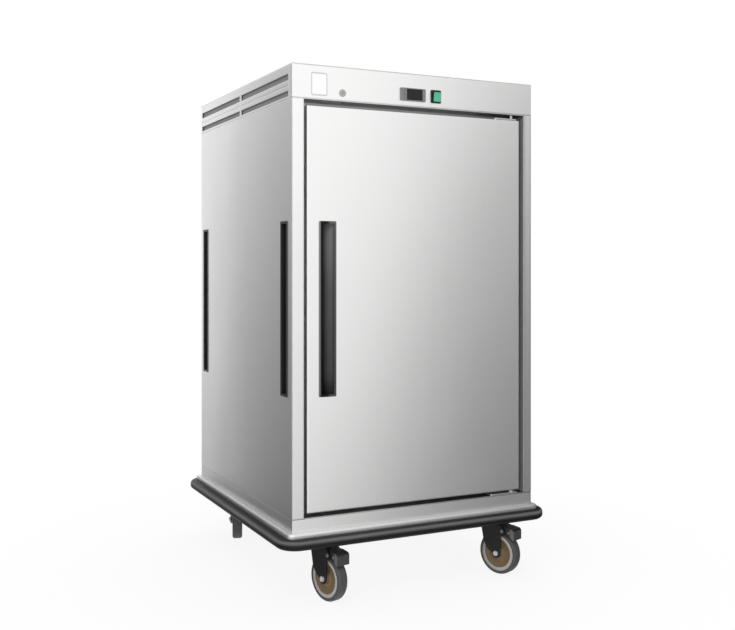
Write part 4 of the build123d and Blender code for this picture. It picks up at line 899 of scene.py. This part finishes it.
MIDDLE = (0, 0, 0.8)
KEY_AT = (-1.9, -2.4, 3.2)
KEY_SIZE = 1.8
KEY_POWER = 40
TOP_AT = (0.4, 0.6, 3.6)
TOP_SIZE = 2.2
TOP_POWER = 36


def lamp(name, at, size, power):
    """A square soft lamp that points at the middle of the object."""
    data = bpy.data.lights.new(name, "AREA")
    data.size = size
    data.energy = power
    made = bpy.data.objects.new(name, data)
    bpy.context.scene.collection.objects.link(made)
    made.matrix_world = toward(at, Vector(at) - Vector(MIDDLE))
    return made


lamp("key_lamp", KEY_AT, KEY_SIZE, KEY_POWER)
top_lamp = lamp("top_lamp", TOP_AT, TOP_SIZE, TOP_POWER)
top_lamp.visible_glossy = False

# The tent: a ring whose tone falls toward the floor and changes round the room
TENT_R = 1.2
TENT_Z = (-0.7, 2.2)
TENT_STEPS = 96
TENT_FALL = -0.395  # change of tone for a metre of height
TENT_TURN = (  # degrees from the door's side toward the right, and the tone there
    (-180, -0.75),
    (-165, -0.65),
    (-151, -0.29),
    (-133, 0.54),
    (-115, 0.72),
    (-90, 0.40),
    (-60, -0.30),
    (-25, -0.70),
    (-3, -0.43),
    (39, 0.29),
    (60, 0.62),
    (85, 0.75),
    (115, 0.72),
    (133, 0.44),
    (151, -0.25),
    (165, -0.65),
    (180, -0.75),
)
TENT_TONE = (-0.8, 0.8)  # limits of the tones above
TENT_LIGHT = (  # tone and the light that it gives
    (-1.10, 1.14),
    (-0.95, 1.11),
    (-0.60, 0.99),
    (-0.40, 0.76),
    (-0.18, 0.50),
    (0.14, 0.29),
    (0.30, 0.22),
    (0.70, 0.11),
)


def tent_finish():
    """A glow whose tone depends on the way round the room and the height."""
    made, tree, main = material("tent_glow")
    place = node(tree, "ShaderNodeTexCoord")
    split = node(tree, "ShaderNodeSeparateXYZ")
    tree.links.new(place.outputs["Object"], split.inputs[0])
    ahead = node(tree, "ShaderNodeMath", {1: -1.0}, operation="MULTIPLY")
    tree.links.new(split.outputs["Y"], ahead.inputs[0])
    turn = node(tree, "ShaderNodeMath", operation="ARCTAN2")
    tree.links.new(split.outputs["X"], turn.inputs[0])
    tree.links.new(ahead.outputs[0], turn.inputs[1])
    low, high = TENT_TONE
    stops = [(math.radians(angle), (tone - low) / (high - low)) for angle, tone in TENT_TURN]
    around = ramp(tree, turn.outputs[0], stops, -math.pi, math.pi)
    fall = node(tree, "ShaderNodeMath", {1: TENT_FALL}, operation="MULTIPLY")
    tree.links.new(split.outputs["Z"], fall.inputs[0])
    tone = total(tree, spread(tree, around, low, high, 0.0, 1.0), fall.outputs[0])
    light = ramp(tree, tone, TENT_LIGHT)
    glow = node(tree, "ShaderNodeEmission", {"Strength": 1.0})
    tree.links.new(light, glow.inputs["Color"])
    tree.links.new(glow.outputs[0], tree.nodes["Material Output"].inputs["Surface"])
    return made


ring = [2 * math.pi * step / TENT_STEPS for step in range(TENT_STEPS)]
tent_points = [(TENT_R * math.cos(angle), TENT_R * math.sin(angle), z) for z in TENT_Z for angle in ring]
tent_faces = []
for step in range(TENT_STEPS):
    after = (step + 1) % TENT_STEPS
    tent_faces.append((step, after, TENT_STEPS + after, TENT_STEPS + step))
tent = stage_object("tent", tent_points, tent_faces, tent_finish())
tent.visible_camera = False
tent.visible_diffuse = False
tent.visible_shadow = False
tent.visible_transmission = False

# Camera
eye = bpy.data.cameras.new("camera")
eye.sensor_width = SENSOR_W
eye.lens = FOCAL_PX / IMAGE_W * SENSOR_W
eye.shift_y = (EYE_LEVEL_PX - IMAGE_H / 2) / IMAGE_W
camera = bpy.data.objects.new("camera", eye)
camera.location = CAMERA_AT
camera.rotation_euler = (math.radians(90), 0, -math.radians(CAMERA_YAW))
bpy.context.scene.collection.objects.link(camera)
bpy.context.scene.camera = camera
bpy.context.scene.view_settings.view_transform = "Standard"
